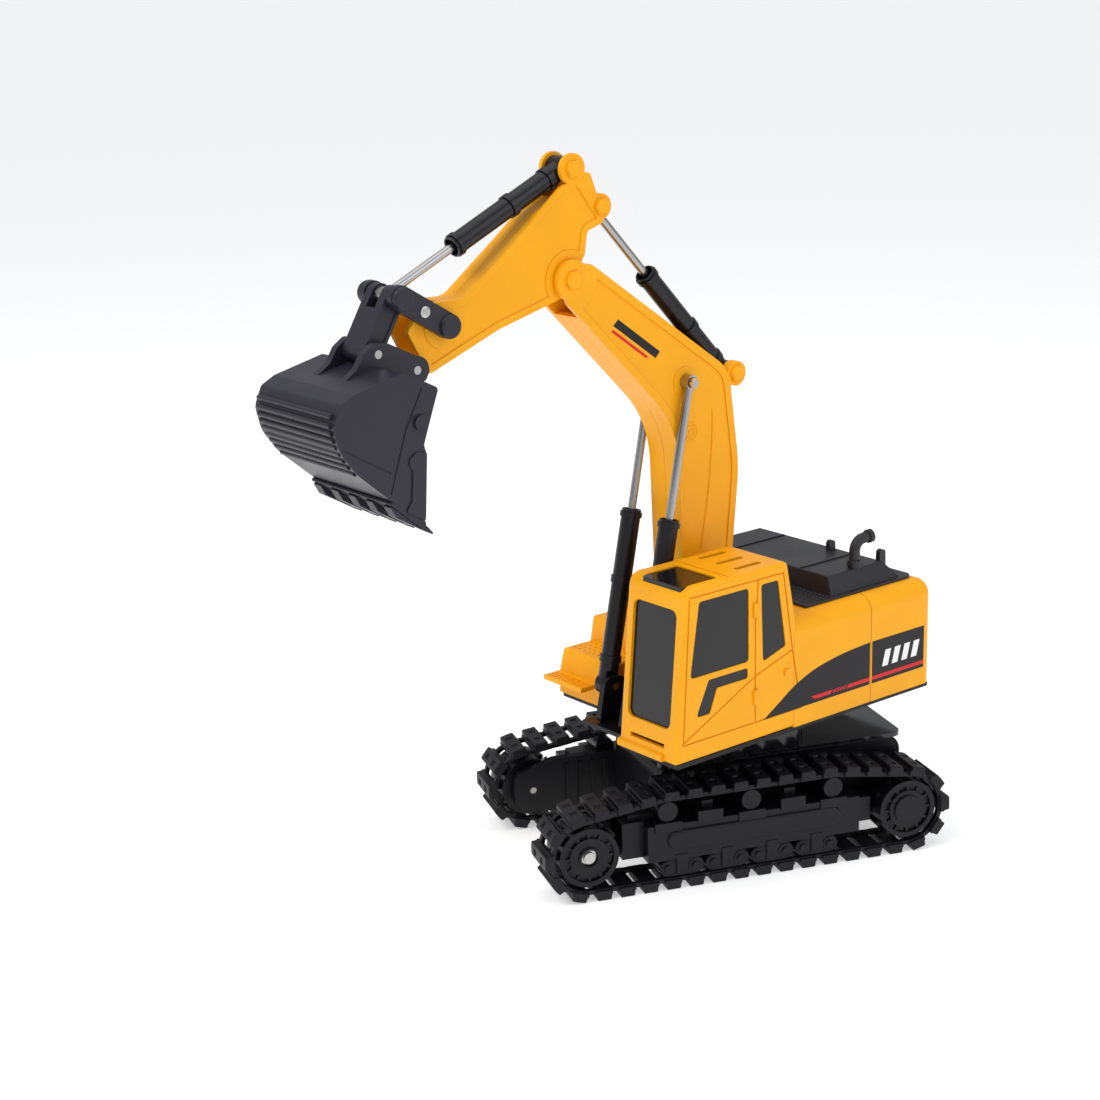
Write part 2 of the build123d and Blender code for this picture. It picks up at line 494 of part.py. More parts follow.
# right front platform, stepped
PLATFORM_LEFT = CH_RIGHT
STEP = (82.0, 93.0)
profile = [(2.2, 62.1), (PLATFORM_FRONT, 62.1), (PLATFORM_FRONT, LIP[0] - 2), (LIP[1], LIP[0] - 2), (LIP[1], LIP[0]),
           (PLATFORM_FRONT - 0.3, LIP[0]), (PLATFORM_FRONT - 3, STEP[0]), (23, STEP[0]), (21, STEP[1]), (2.2, STEP[1])]
deckside = slab(make_face(Polyline(*profile, close=True)), -SIDE, PLATFORM_LEFT)
tops = deckside.edges().filter_by(Axis.X).filter_by(lambda e: e.center().Z > STEP[0] - 1)
deckside = fillet(tops, 1.6)
deckside -= block(LIP[1] - 10, LIP[1] + 1, PLATFORM_LEFT - 7, PLATFORM_LEFT + 1, LIP[0] - 3, LIP[0] + 1)
deckside -= block(4.2, PLATFORM_FRONT - WALL, -SIDE + WALL, PLATFORM_LEFT - WALL, 50, STEP[0] - 13)
deckside -= block(4.2, PLATFORM_FRONT - 5, -SIDE + WALL, PLATFORM_LEFT - WALL, 50, STEP[0] - WALL)
deckside -= block(4.2, 19.0, -SIDE + WALL, PLATFORM_LEFT - WALL, 50, STEP[1] - WALL)
for step in range(3):
    x = LIP[1] - 2.2 - step * 2.0
    deckside -= block(x, x + 0.7, -SIDE - 1, PLATFORM_LEFT + 1, LIP[0] - 0.5, LIP[0] + 1)
studs = []
for row in range(4):
    for column in range(9):
        studs.append(bar_z(25.6 + row * 3.1, -47 + column * 3.2, 0.55, STEP[0] - 0.1, STEP[0] + 0.35))
        studs.append(bar_z(5.6 + row * 3.6, -47 + column * 3.2, 0.55, STEP[1] - 0.1, STEP[1] + 0.35))
deckside = deckside.fuse(*studs)
nodes["front_platform"] = deckside

# engine hood: thin deck with a raised, tapered cover
HOOD_FRONT = -16.0
HOOD_TOP = 118.0
COVER = (-76.0, -33.5, -41.0, 41.0)
plate = block(-HOUSE_REAR + 5, HOOD_FRONT, -43.0, 43.0, BODY_TOP + SEAT_GAP, BODY_TOP + 1.3)
plate = fillet(plate.edges().filter_by(Axis.Z).filter_by(lambda e: e.center().X < -60), 4.0)
cover_low = Pos((COVER[0] + COVER[1]) / 2, 0, BODY_TOP + 1.2) * Rectangle(COVER[1] - COVER[0], COVER[3] - COVER[2])
cover_top = Pos((COVER[0] + 8 + COVER[1] - 1.2) / 2, 0, HOOD_TOP)
cover_top = cover_top * Rectangle(COVER[1] - COVER[0] - 9.2, COVER[3] - COVER[2] - 7)
cover = loft([cover_low.face(), cover_top.face()])
cover = fillet(cover.edges().filter_by(lambda e: e.center().Z > BODY_TOP + 2), 0.8)
hood = plate + cover
for y in (-21.0, 21.0):
    hood += block(COVER[0] + 9, COVER[1] - 2.0, y - 0.5, y + 0.5, HOOD_TOP - 0.2, HOOD_TOP + 0.5)
for x, y in ((-71.0, 34.0), (-66.0, 9.0)):
    knob_face = outline([(x - 2, HOOD_TOP - 4), (x + 2, HOOD_TOP - 4), (x + 1.7, HOOD_TOP + 4),
                         (x - 1.7, HOOD_TOP + 4)], [0.3, 0.3, 1.5, 1.5])
    hood += slab(knob_face, y - 1.2, y + 1.2)
PIPE = (-53.0, 35.5)
hood -= bar_z(PIPE[0], PIPE[1], 2.4, HOOD_TOP - 3, HOOD_TOP + 1)
nodes["engine_hood"] = hood
pipe_line = FilletPolyline((PIPE[0], PIPE[1], HOOD_TOP - 2.8), (PIPE[0], PIPE[1], HOOD_TOP + 11.5),
                           (PIPE[0] - 9.0, PIPE[1] + 1.0, HOOD_TOP + 12.5), radius=5.0)
pipe = sweep(Plane(pipe_line @ 0, z_dir=pipe_line % 0) * Circle(2.35), path=pipe_line)
pipe += bar_z(PIPE[0], PIPE[1], 3.1, HOOD_TOP + 0.1, HOOD_TOP + 3.2)
tip = Plane(pipe_line @ 1, z_dir=pipe_line % 1)
pipe += extrude(tip * Circle(2.9), amount=-2.2)
pipe -= extrude(tip * Circle(2.1), amount=-6)
nodes["exhaust_pipe"] = pipe

# inside the house
nodes["circuit_board"] = block(-80, -52, -30, 30, 66.0, 67.6) + block(-74, -66, -12, -2, 67.5, 70.5) + block(
    -62, -56, 6, 20, 67.5, 73.0)
swing_motor = bar_z(PINION_X, 0, 7.0, 67.2, 92.0)
swing_motor -= bar_z(PINION_X, 0, 1.6, 66, 72)
nodes["swing_motor"] = swing_motor
boom_gearbox = block(-40, -18, -32, -18, 62.2, 88)
nodes["boom_gearbox"] = fillet(boom_gearbox.edges().filter_by(Axis.Y), 3.0)
nodes["boom_motor"] = bar_z(-29, 14 + 8, 7.0, 62.2, 88)

# pins fixed in the house
foot_reach = BOOM_HALF + SIDE_GAP + 3.0
pins = [bar_y(FOOT, PIN_R, BOOM_PLANE - foot_reach, BOOM_PLANE + foot_reach)]
RAM_EYE = 2.4                # half thickness of the boom cylinder's eyes
for side in (1, -1):
    ram = BOOM_PLANE + side * CYLINDER_OFFSET
    pins.append(bar_y(RAM_BASE, PIN_R, *sorted((ram - side * 6.0, ram + side * 3.0))))
    cap = bar_y(RAM_BASE, 2.6, *sorted((ram + side * 2.75, ram + side * 3.3)))
    pins[-1] = pins[-1] + cap
nodes["house_pins"] = Compound(pins)

# ---------------------------------------------------------------- boom
boom_points = [(-3, 84), (19, 84), (22.5, 187), (82, 247.5), (71, 261.5), (-6, 207), (-11.5, 165)]
BOOM_FACE = outline(boom_points, [9, 9, 45, 7, 7, 16, 60])
BOOM_FACE = BOOM_FACE + disc(ELBOW, 8.0) + disc(STICK_RAM_BASE, 5.2)
BOOM_ROOM = offset(outline(boom_points, [9, 9, 45, 7, 7, 16, 60]), -SHELL_T, kind=Kind.INTERSECTION)
PANEL = offset(outline(boom_points, [9, 9, 45, 7, 7, 16, 60]), -3.4, kind=Kind.INTERSECTION)
PANEL -= disc(ELBOW, 12.0)
PANEL -= disc(RAM_TOP, 6.0)
PANEL -= disc(FOOT, 12.0)
FORK_IN = STICK_HALF + SIDE_GAP
LUG_IN = 5.3

stick_ram = heading(STICK_RAM_BASE, STICK_RAM_TOP)
BARREL_DROP = 7.8            # the stick cylinder leans this far down, degrees
BARREL_SLOT = Pos(*STICK_RAM_BASE) * Rot(0, 0, stick_ram - BARREL_DROP) * Pos(32, 7.5) * Rectangle(66, 25.5)


def boom_half(side):
    """One moulded half of the boom, hollow, open as a fork at the elbow."""
    def across(face, a, b):
        return slab(face, *sorted((BOOM_PLANE + side * a, BOOM_PLANE + side * b)))
    half = across(BOOM_FACE, 0.05, BOOM_HALF)
    half -= across(BOOM_ROOM, -1, BOOM_HALF - SHELL_T)
    half -= across(disc(ELBOW, 15.5), -1, FORK_IN)
    half -= across(disc(STICK_RAM_BASE, 6.8), -1, LUG_IN)
    half -= across(BARREL_SLOT, -1, LUG_IN)
    half -= across(PANEL, BOOM_HALF - 0.5, BOOM_HALF + 1)
    half += across(disc(FOOT, 5.0), BOOM_HALF - SHELL_T - 4, BOOM_HALF)
    half += across(disc(RAM_TOP, 4.2), BOOM_HALF - SHELL_T - 3, BOOM_HALF + 0.2)
    half -= across(disc(FOOT, PIN_R + RUN_GAP), -1, BOOM_HALF + 1)
    for point in (RAM_TOP, ELBOW, STICK_RAM_BASE):
        half -= across(disc(point, PIN_R + 0.01), -1, BOOM_HALF + 2)
    return half


nodes["boom_left_half"] = boom_half(1)
nodes["boom_right_half"] = boom_half(-1)


def headed_pin(point, half, head):
    """Pin through both walls, six-sided head each end."""
    pin = bar_y(point, PIN_R, BOOM_PLANE - half, BOOM_PLANE + half)
    cap = Pos(*point) * RegularPolygon(head, 6)
    for side in (1, -1):
        cap_solid = slab(cap, *sorted((BOOM_PLANE + side * (half + 0.05), BOOM_PLANE + side * (half + 1.5))))
        pin += chamfer(cap_solid.faces().sort_by(Axis.Y)[-1 if side > 0 else 0].edges(), 0.4)
        pin += bar_y(point, PIN_R, *sorted((BOOM_PLANE + side * (half - 1), BOOM_PLANE + side * (half + 1))))
    return pin


RAM_REACH = CYLINDER_OFFSET + RAM_EYE + 0.3
ram_pin = bar_y(RAM_TOP, PIN_R, BOOM_PLANE - RAM_REACH, BOOM_PLANE + RAM_REACH)
for side in (1, -1):
    nut = Pos(*RAM_TOP) * RegularPolygon(2.3, 6)
    ram_pin += slab(nut, *sorted((BOOM_PLANE + side * (RAM_REACH - 0.1), BOOM_PLANE + side * (RAM_REACH + 1.0))))
nodes["boom_pins"] = Compound([headed_pin(ELBOW, BOOM_HALF, 4.0), headed_pin(STICK_RAM_BASE, BOOM_HALF, 3.6), ram_pin])


# ---------------------------------------------------------------- cylinders
def barrel(base, tip, y, length, eye_half, collars):
    """Cylinder barrel: base eye, tube with collars, wide bore open at the gland."""
    tube = bar_between(base, tip, y, BARREL_R, 2.0, length)
    for at in collars:
        tube += bar_between(base, tip, y, COLLAR_R, at - 1.4, at + 1.4)
    tube += bar_between(base, tip, y, COLLAR_R, length - 3.2, length - 1.2)
    tube -= bar_between(base, tip, y, BARREL_BORE_R, 12.0, length + 1)
    tube &= slab(disc(base, 400), y - COLLAR_R - 1, y + COLLAR_R + 1)
    eye = bar_y(base, COLLAR_R, y - eye_half, y + eye_half)
    clear = slab(disc(base, COLLAR_R + 2.0), y - 20, y + 20) - slab(disc(base, COLLAR_R + 2.0), y - eye_half, y + eye_half)
    tube = tube - clear + eye
    return tube - bar_y(base, PIN_R + RUN_GAP, y - 20, y + 20)


def rod(base, tip, y, length, eye_half, eye_r):
    """Cylinder rod ending in an eye at the tip."""
    reach = math.dist(base, tip)
    bar = bar_between(base, tip, y, ROD_R, reach - length, reach - 1.0)
    bar = bar + bar_y(tip, eye_r, y - eye_half, y + eye_half)
    return bar - bar_y(tip, PIN_R + RUN_GAP, y - 20, y + 20)


for name, side in tracks.items():
    y = BOOM_PLANE + side * CYLINDER_OFFSET
    nodes["boom_cylinder_barrel_" + name] = barrel(RAM_BASE, RAM_TOP, y, RAM_BARREL, RAM_EYE, (11.0, 45.0))
    nodes["boom_cylinder_rod_" + name] = rod(RAM_BASE, RAM_TOP, y, RAM_ROD, 2.0, 3.2)
nodes["stick_cylinder_barrel"] = barrel(STICK_RAM_BASE, STICK_RAM_TOP, BOOM_PLANE, STICK_BARREL, LUG_IN - SIDE_GAP,
                                        (8.0, 28.0))
nodes["stick_cylinder_rod"] = rod(STICK_RAM_BASE, STICK_RAM_TOP, BOOM_PLANE, STICK_ROD, 2.6, 3.4)
A_IN = 4.9
nodes["bucket_cylinder_barrel"] = barrel(BUCKET_RAM_BASE, ROCKER_TIP, BOOM_PLANE, BUCKET_BARREL, A_IN - SIDE_GAP,
                                         (8.5, 28.5))
nodes["bucket_cylinder_rod"] = rod(BUCKET_RAM_BASE, ROCKER_TIP, BOOM_PLANE, BUCKET_ROD, 2.3, 3.3)

# ---------------------------------------------------------------- stick
stick_points = [(68, 262), (80, 246.5), (111, 238.5), (144, 226), (153, 243), (144.5, 252.5), (127, 252),
                (101, 271.5), (79, 289), (70, 292), (57, 274), (66.5, 271)]
stick_radii = [3, 6, 3, 2, 2, 2.5, 9, 4, 5, 4, 2, 2]
STICK_FACE = outline(stick_points, stick_radii) + disc(ELBOW, 7.6) + disc(STICK_RAM_TOP, 5.0)
STICK_FACE = STICK_FACE + disc(BUCKET_RAM_BASE, 6.0) + disc(BUCKET_PIVOT, 5.4) + disc(ROCKER_PIVOT, 5.0)
bridge = outline([STICK_RAM_TOP, (62, 276), (78, 284), BUCKET_RAM_BASE, (64.5, 293)], 0.8)
STICK_FACE = STICK_FACE + bridge
STICK_ROOM = offset(outline(stick_points, stick_radii), -SHELL_T, kind=Kind.INTERSECTION)
STICK_PANEL = offset(outline(stick_points, stick_radii), -2.8, kind=Kind.INTERSECTION)
STICK_PANEL -= disc(ELBOW, 11.5)
STICK_PANEL -= disc(ROCKER_PIVOT, 9.0)
TIP_OPEN = outline([(139, 200), (170, 200), (170, 270), (132.5, 270), (141.5, 237.5)], 1.0)


def stick_half(side):
    """One moulded half of the stick: hollow, with three open lugs and a forked tip."""
    def across(face, a, b):
        return slab(face, *sorted((BOOM_PLANE + side * a, BOOM_PLANE + side * b)))
    half = across(STICK_FACE, 0.05, STICK_HALF)
    half -= across(STICK_ROOM, -1, STICK_HALF - SHELL_T)
    half -= across(disc(STICK_RAM_TOP, 7.0), -1, 3.0)
    half -= across(disc(BUCKET_RAM_BASE, 8.5), -1, A_IN)
    run = outline([BUCKET_RAM_BASE, (BUCKET_RAM_BASE[0] + 3, BUCKET_RAM_BASE[1] - 8), (110, 270), (110, 290)], 0.3)
    half -= across(run, -1, A_IN)
    half -= across(TIP_OPEN, -1, STICK_HALF - SHELL_T)
    half -= across(STICK_PANEL, STICK_HALF - 0.45, STICK_HALF + 1)
    for point, radius in ((ELBOW, 4.5), (ROCKER_PIVOT, 3.2)):
        half += across(disc(point, radius), 0.05, STICK_HALF)
    half -= across(disc(ELBOW, PIN_R + RUN_GAP), -1, STICK_HALF + 1)
    for point in (STICK_RAM_TOP, BUCKET_RAM_BASE):
        half -= across(disc(point, PIN_R + 0.01), -1, STICK_HALF + 1)
    for point in (ROCKER_PIVOT, BUCKET_PIVOT):
        half -= across(disc(point, PIN_R + RUN_GAP), -1, STICK_HALF + 1)
    return half


nodes["stick_left_half"] = stick_half(1)
nodes["stick_right_half"] = stick_half(-1)
nodes["stick_pins"] = Compound([headed_pin(STICK_RAM_TOP, STICK_HALF, 3.6), headed_pin(BUCKET_RAM_BASE, STICK_HALF, 3.6)])

# ---------------------------------------------------------------- rocker, link and bucket
ARM_IN = STICK_HALF + SIDE_GAP + 0.1
ARM_OUT = ARM_IN + ARM_T
arm_lean = heading(ROCKER_PIVOT, ROCKER_TIP)
SCREW_AT = along(ROCKER_PIVOT, ROCKER_TIP, 13.0)
arm_mid = along(ROCKER_PIVOT, ROCKER_TIP, math.dist(ROCKER_PIVOT, ROCKER_TIP) / 2)
ARM_FACE = Pos(*arm_mid) * Rot(0, 0, arm_lean) * SlotCenterToCenter(math.dist(ROCKER_PIVOT, ROCKER_TIP), 9.4)


def rocker_arm(side):
    """Rocker arm with a domed cap over its pivot and a round boss at the tip."""
    def across(face, a, b):
        return slab(face, *sorted((BOOM_PLANE + side * a, BOOM_PLANE + side * b)))
    arm = across(ARM_FACE, ARM_IN, ARM_OUT)
    cap = across(disc(ROCKER_PIVOT, 4.7), ARM_OUT - 0.5, ARM_OUT + 1.6)
    arm += fillet(cap.faces().sort_by(Axis.Y)[-1 if side > 0 else 0].edges(), 1.4)
    boss = across(disc(ROCKER_TIP, 4.4), ARM_OUT - 0.5, ARM_OUT + 2.2)
    arm += fillet(boss.faces().sort_by(Axis.Y)[-1 if side > 0 else 0].edges(), 1.0)
    arm += across(disc(ROCKER_PIVOT, PIN_R), 0.1, ARM_IN + 0.5)
    arm -= across(disc(ROCKER_TIP, PIN_R + 0.01), ARM_IN - 1, ARM_OUT + 1.0)
    arm -= across(disc(SCREW_AT, 2.3), ARM_OUT - 0.9, ARM_OUT + 1)
    arm -= across(disc(SCREW_AT, 1.11), ARM_IN + 0.4, ARM_OUT + 1)
    return arm


nodes["rocker_arm_left"] = rocker_arm(1)
nodes["rocker_arm_right"] = rocker_arm(-1)
arm_screws = []
for side in (1, -1):
    head = bar_y(SCREW_AT, 2.15, *sorted((BOOM_PLANE + side * (ARM_OUT - 0.8), BOOM_PLANE + side * (ARM_OUT + 0.3))))
    shank = bar_y(SCREW_AT, 1.1, *sorted((BOOM_PLANE + side * (ARM_IN + 0.6), BOOM_PLANE + side * (ARM_OUT - 0.7))))
    arm_screws.append(head + shank)
nodes["rocker_screws"] = Compound(arm_screws)
nodes["rocker_front_pin"] = bar_y(ROCKER_TIP, PIN_R, BOOM_PLANE - ARM_OUT - 0.8, BOOM_PLANE + ARM_OUT + 0.8)

LINK_IN = 2.8
LINK_OUT = STICK_HALF + 0.1
SLACK_R = PIN_R + PIVOT_SLACK
link_mid = along(ROCKER_TIP, LINK_FOOT, math.dist(ROCKER_TIP, LINK_FOOT) / 2)
link_face = Pos(*link_mid) * Rot(0, 0, heading(ROCKER_TIP, LINK_FOOT)) * SlotCenterToCenter(
    math.dist(ROCKER_TIP, LINK_FOOT), 8.4)
link = slab(link_face, BOOM_PLANE - LINK_OUT, BOOM_PLANE + LINK_OUT)
link -= slab(disc(ROCKER_TIP, 7.6), BOOM_PLANE - LINK_IN, BOOM_PLANE + LINK_IN)
recess = offset(link_face, -1.3) - disc(ROCKER_TIP, 4.5) - disc(LINK_FOOT, 3.2)
for side in (1, -1):
    link -= slab(recess, *sorted((BOOM_PLANE + side * (LINK_OUT - 0.5), BOOM_PLANE + side * (LINK_OUT + 1))))
link -= bar_y(ROCKER_TIP, SLACK_R, BOOM_PLANE - 20, BOOM_PLANE + 20)
link -= bar_y(LINK_FOOT, PIN_R + RUN_GAP, BOOM_PLANE - 20, BOOM_PLANE + 20)
nodes["bucket_link"] = link

HEEL = (190.9, 199.4)
LIP_EDGE = (161.2, 174.1)
BACK = [HEEL, (197.6, 208.5), (199.8, 218), (196.6, 225.2), (190.7, 228.2), (169, 233.2)]
BACK_R = [22, 14, 6, 2.5, 3, 3]
mouth = [(161.4, 229.3), (154, 225.4), (157.3, 216.7), (161.4, 205.5), (160.4, 202), (162.4, 177.6)]
BUCKET_SIDE = outline([LIP_EDGE, *BACK, *mouth], [0.6, *BACK_R, 2, 1.5, 6, 2, 2, 3])
B_LO = BOOM_PLANE - BUCKET_HALF
B_HI = BOOM_PLANE + BUCKET_HALF
before_lip = along(LIP_EDGE, HEEL, -50.0)
hollow = outline([before_lip, *BACK, (161.5, 229.4), (161.5, 250), (before_lip[0], 250)], [1, *BACK_R, 0.5, 1, 1])
hollow = offset(hollow, -BUCKET_T, kind=Kind.INTERSECTION)
bucket = slab(BUCKET_SIDE, B_LO, B_HI) - slab(hollow, B_LO + BUCKET_T, B_HI - BUCKET_T)
RIB_R = 1.15
RIBS = [(198.9, 221.4), (199.6, 218.2), (199.2, 215.4), (198.4, 212.8), (197.4, 210.3), (196.2, 207.7),
        (194.6, 205.1), (192.7, 202.4), (190.4, 199.6)]
for at in RIBS:
    bucket += bar_y(at, RIB_R, B_LO + BUCKET_T + 0.2, B_HI - BUCKET_T - 0.2)
bucket -= slab(hollow, B_LO + BUCKET_T, B_HI - BUCKET_T)
lip_band = outline([(176.4, 187.0), (177.2, 185.9), (163.0, 173.8), (161.6, 174.8)], 0.4)
bucket += slab(lip_band, B_LO, B_HI)
for side in (1, -1):
    low, high = sorted((BOOM_PLANE + side * (BUCKET_HALF - BUCKET_T), BOOM_PLANE + side * (BUCKET_HALF + 0.6)))
    cutter = outline([(168.3, 201.4), (165.1, 203.5), (160.6, 202.7), (162.3, 177.5), (170.9, 181.9),
                      (168.0, 185.4), (167.0, 196.5), (168.4, 199.4)], [0.8, 1.2, 0.8, 0.5, 1.2, 1.5, 1.5, 0.8])
    bucket += slab(cutter, low, high)
    low, high = sorted((BOOM_PLANE + side * (BUCKET_HALF - BUCKET_T), BOOM_PLANE + side * (BUCKET_HALF + 1.1)))
    bucket += bar_y((162.6, 214.0), 2.9, low, high)
    low, high = sorted((BOOM_PLANE + side * (BUCKET_HALF - 0.3), BOOM_PLANE + side * (BUCKET_HALF + 2)))
    for line in (Polyline((161.5, 226.5), (169.3, 212.1), (176.8, 189.7)), Polyline((196.0, 208.9), (176.4, 197.5))):
        bucket -= slab(trace(line, 0.6), low, high)
EAR_IN = ARM_IN
EAR_OUT = ARM_OUT
ear = outline([(148.3, 224.8), (158, 226.4), (187.0, 227.8), (178.3, 233.3), (174.9, 238.7), (170.1, 241.9),
               (164.6, 241.1), (149.9, 233.8), (146.1, 228.6)], [1, 1, 0.4, 4, 3, 2.5, 3, 2, 1.5])
ear = ear + disc(BUCKET_PIVOT, 5.2)
for side in (1, -1):
    bucket += slab(ear, *sorted((BOOM_PLANE + side * EAR_IN, BOOM_PLANE + side * EAR_OUT)))
TEETH = 5
tooth_face = outline([(157.0, 170.3), (174.4, 180.4), (177.0, 185.0), (172.0, 184.0), (161.0, 174.8)], 0.4)
pitch = (2 * BUCKET_HALF - 6.0) / (TEETH - 1)
for index in range(TEETH):
    y = B_LO + 3.0 + index * pitch
    bucket += slab(tooth_face, y - 2.4, y + 2.4)
bucket -= slab(disc(BUCKET_PIVOT, PIN_R + 0.01), BOOM_PLANE - 20, BOOM_PLANE + 20)
bucket -= slab(disc(LINK_FOOT, PIN_R + 0.01), BOOM_PLANE - 20, BOOM_PLANE + 20)
nodes["bucket"] = bucket
nodes["bucket_pins"] = Compound([bar_y(BUCKET_PIVOT, PIN_R, BOOM_PLANE - EAR_OUT, BOOM_PLANE + EAR_OUT),
                                 bar_y(LINK_FOOT, PIN_R, BOOM_PLANE - EAR_OUT, BOOM_PLANE + EAR_OUT)])

# ---------------------------------------------------------------- bodies and export
bodies = {
    "undercarriage": ["chassis_frame", "chassis_deck", "chassis_screws", "turntable_base", "swing_gear",
                      "battery_door", "battery_pack", "side_frame_left", "side_frame_right", "track_left",
                      "track_right", "drive_gearbox_left", "drive_gearbox_right", "drive_motor_left",
                      "drive_motor_right", "idler_screws"],
    "power_switch": ["power_switch"],
    "left_sprocket": ["sprocket_left", "drive_axle_left"],
    "right_sprocket": ["sprocket_right", "drive_axle_right"],
    "left_idler": ["idler_left"],
    "right_idler": ["idler_right"],
    "house": ["house_floor", "body_shell", "rear_shell", "front_platform", "engine_hood", "exhaust_pipe",
              "windshield", "left_windows", "right_window", "roof_window", "circuit_board", "swing_motor",
              "boom_motor", "boom_gearbox", "house_pins"],
    "swing_pinion": ["swing_pinion"],
    "boom": ["boom_left_half", "boom_right_half", "boom_pins"],
    "boom_barrels": ["boom_cylinder_barrel_left", "boom_cylinder_barrel_right"],
    "boom_rods": ["boom_cylinder_rod_left", "boom_cylinder_rod_right"],
    "stick": ["stick_left_half", "stick_right_half", "stick_pins"],
    "stick_barrel": ["stick_cylinder_barrel"],
    "stick_rod": ["stick_cylinder_rod"],
    "bucket_barrel": ["bucket_cylinder_barrel"],
    "bucket_rod": ["bucket_cylinder_rod"],
    "rocker": ["rocker_arm_left", "rocker_arm_right", "rocker_screws", "rocker_front_pin"],
    "link": ["bucket_link"],
    "bucket": ["bucket", "bucket_pins"],
}
ON_TRACKS = ("undercarriage", "power_switch", "left_sprocket", "right_sprocket", "left_idler", "right_idler")
placed = {}
for body, names in bodies.items():
    for name in names:
        placed[name] = nodes[name] if body in ON_TRACKS else on_house(nodes[name])
boxes = [shape.bounding_box() for shape in placed.values()]
low = [min(getattr(box.min, axis) for box in boxes) for axis in "XYZ"]
high = [max(getattr(box.max, axis) for box in boxes) for axis in "XYZ"]
ORIGIN = ((low[0] + high[0]) / 2, (low[1] + high[1]) / 2, low[2])
for name, shape in placed.items():
    export_step(Pos(-ORIGIN[0], -ORIGIN[1], -ORIGIN[2]) * shape, f"parts/{name}.step")
print("size, mm:", [round(b - a, 2) for a, b in zip(low, high)], "swing axis at", [round(-v, 3) for v in ORIGIN])
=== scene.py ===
"""Looks of a toy tracked excavator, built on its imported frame. Metres; piece sizes below are in mm."""
import json
import math

import bpy
import numpy as np
from mathutils import Matrix, Vector

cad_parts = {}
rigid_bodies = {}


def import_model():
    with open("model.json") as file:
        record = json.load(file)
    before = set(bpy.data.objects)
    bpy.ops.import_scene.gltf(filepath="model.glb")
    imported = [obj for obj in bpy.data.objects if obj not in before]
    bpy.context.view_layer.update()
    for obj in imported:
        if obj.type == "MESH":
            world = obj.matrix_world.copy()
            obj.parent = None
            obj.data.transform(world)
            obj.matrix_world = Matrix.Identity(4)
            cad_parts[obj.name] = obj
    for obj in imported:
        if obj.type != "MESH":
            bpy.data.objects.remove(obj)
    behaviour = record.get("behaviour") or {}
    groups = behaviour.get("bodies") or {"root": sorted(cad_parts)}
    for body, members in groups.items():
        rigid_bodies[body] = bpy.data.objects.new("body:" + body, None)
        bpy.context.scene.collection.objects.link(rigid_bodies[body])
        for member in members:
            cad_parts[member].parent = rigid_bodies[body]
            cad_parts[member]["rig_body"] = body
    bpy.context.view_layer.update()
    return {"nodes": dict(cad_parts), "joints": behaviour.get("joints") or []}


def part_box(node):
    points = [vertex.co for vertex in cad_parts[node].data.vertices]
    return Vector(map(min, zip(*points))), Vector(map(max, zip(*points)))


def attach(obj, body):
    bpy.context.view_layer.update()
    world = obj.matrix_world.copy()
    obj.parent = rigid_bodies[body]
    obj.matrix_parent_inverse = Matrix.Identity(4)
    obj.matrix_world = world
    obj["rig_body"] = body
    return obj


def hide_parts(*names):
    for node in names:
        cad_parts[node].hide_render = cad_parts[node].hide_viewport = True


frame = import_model()
MM = 0.001

# ---------------------------------------------------------------- rubber belts
# Two endless tracks moulded in soft black vinyl: flat grouser pads tied together by a rail along
# each edge. They are stretched over the end wheels and stand the toy on the ground.


def linear(hex_code):
    """sRGB hex to linear: each channel by the standard curve."""
    raw = np.array([int(hex_code[i:i + 2], 16) for i in (0, 2, 4)]) / 255
    return (*np.where(raw <= 0.04045, raw / 12.92, ((raw + 0.055) / 1.055) ** 2.4), 1.0)


def add(tree, kind, settings=None, links=None):
    """Adds one node: settings fill its sockets or properties, links join its sockets to other outputs."""
    item = tree.nodes.new(kind)
    for key, value in (settings or {}).items():
        if isinstance(key, int) or key in item.inputs:
            item.inputs[key].default_value = value
        else:
            setattr(item, key, value)
    for key, source in (links or {}).items():
        tree.links.new(source, item.inputs[key])
    return item


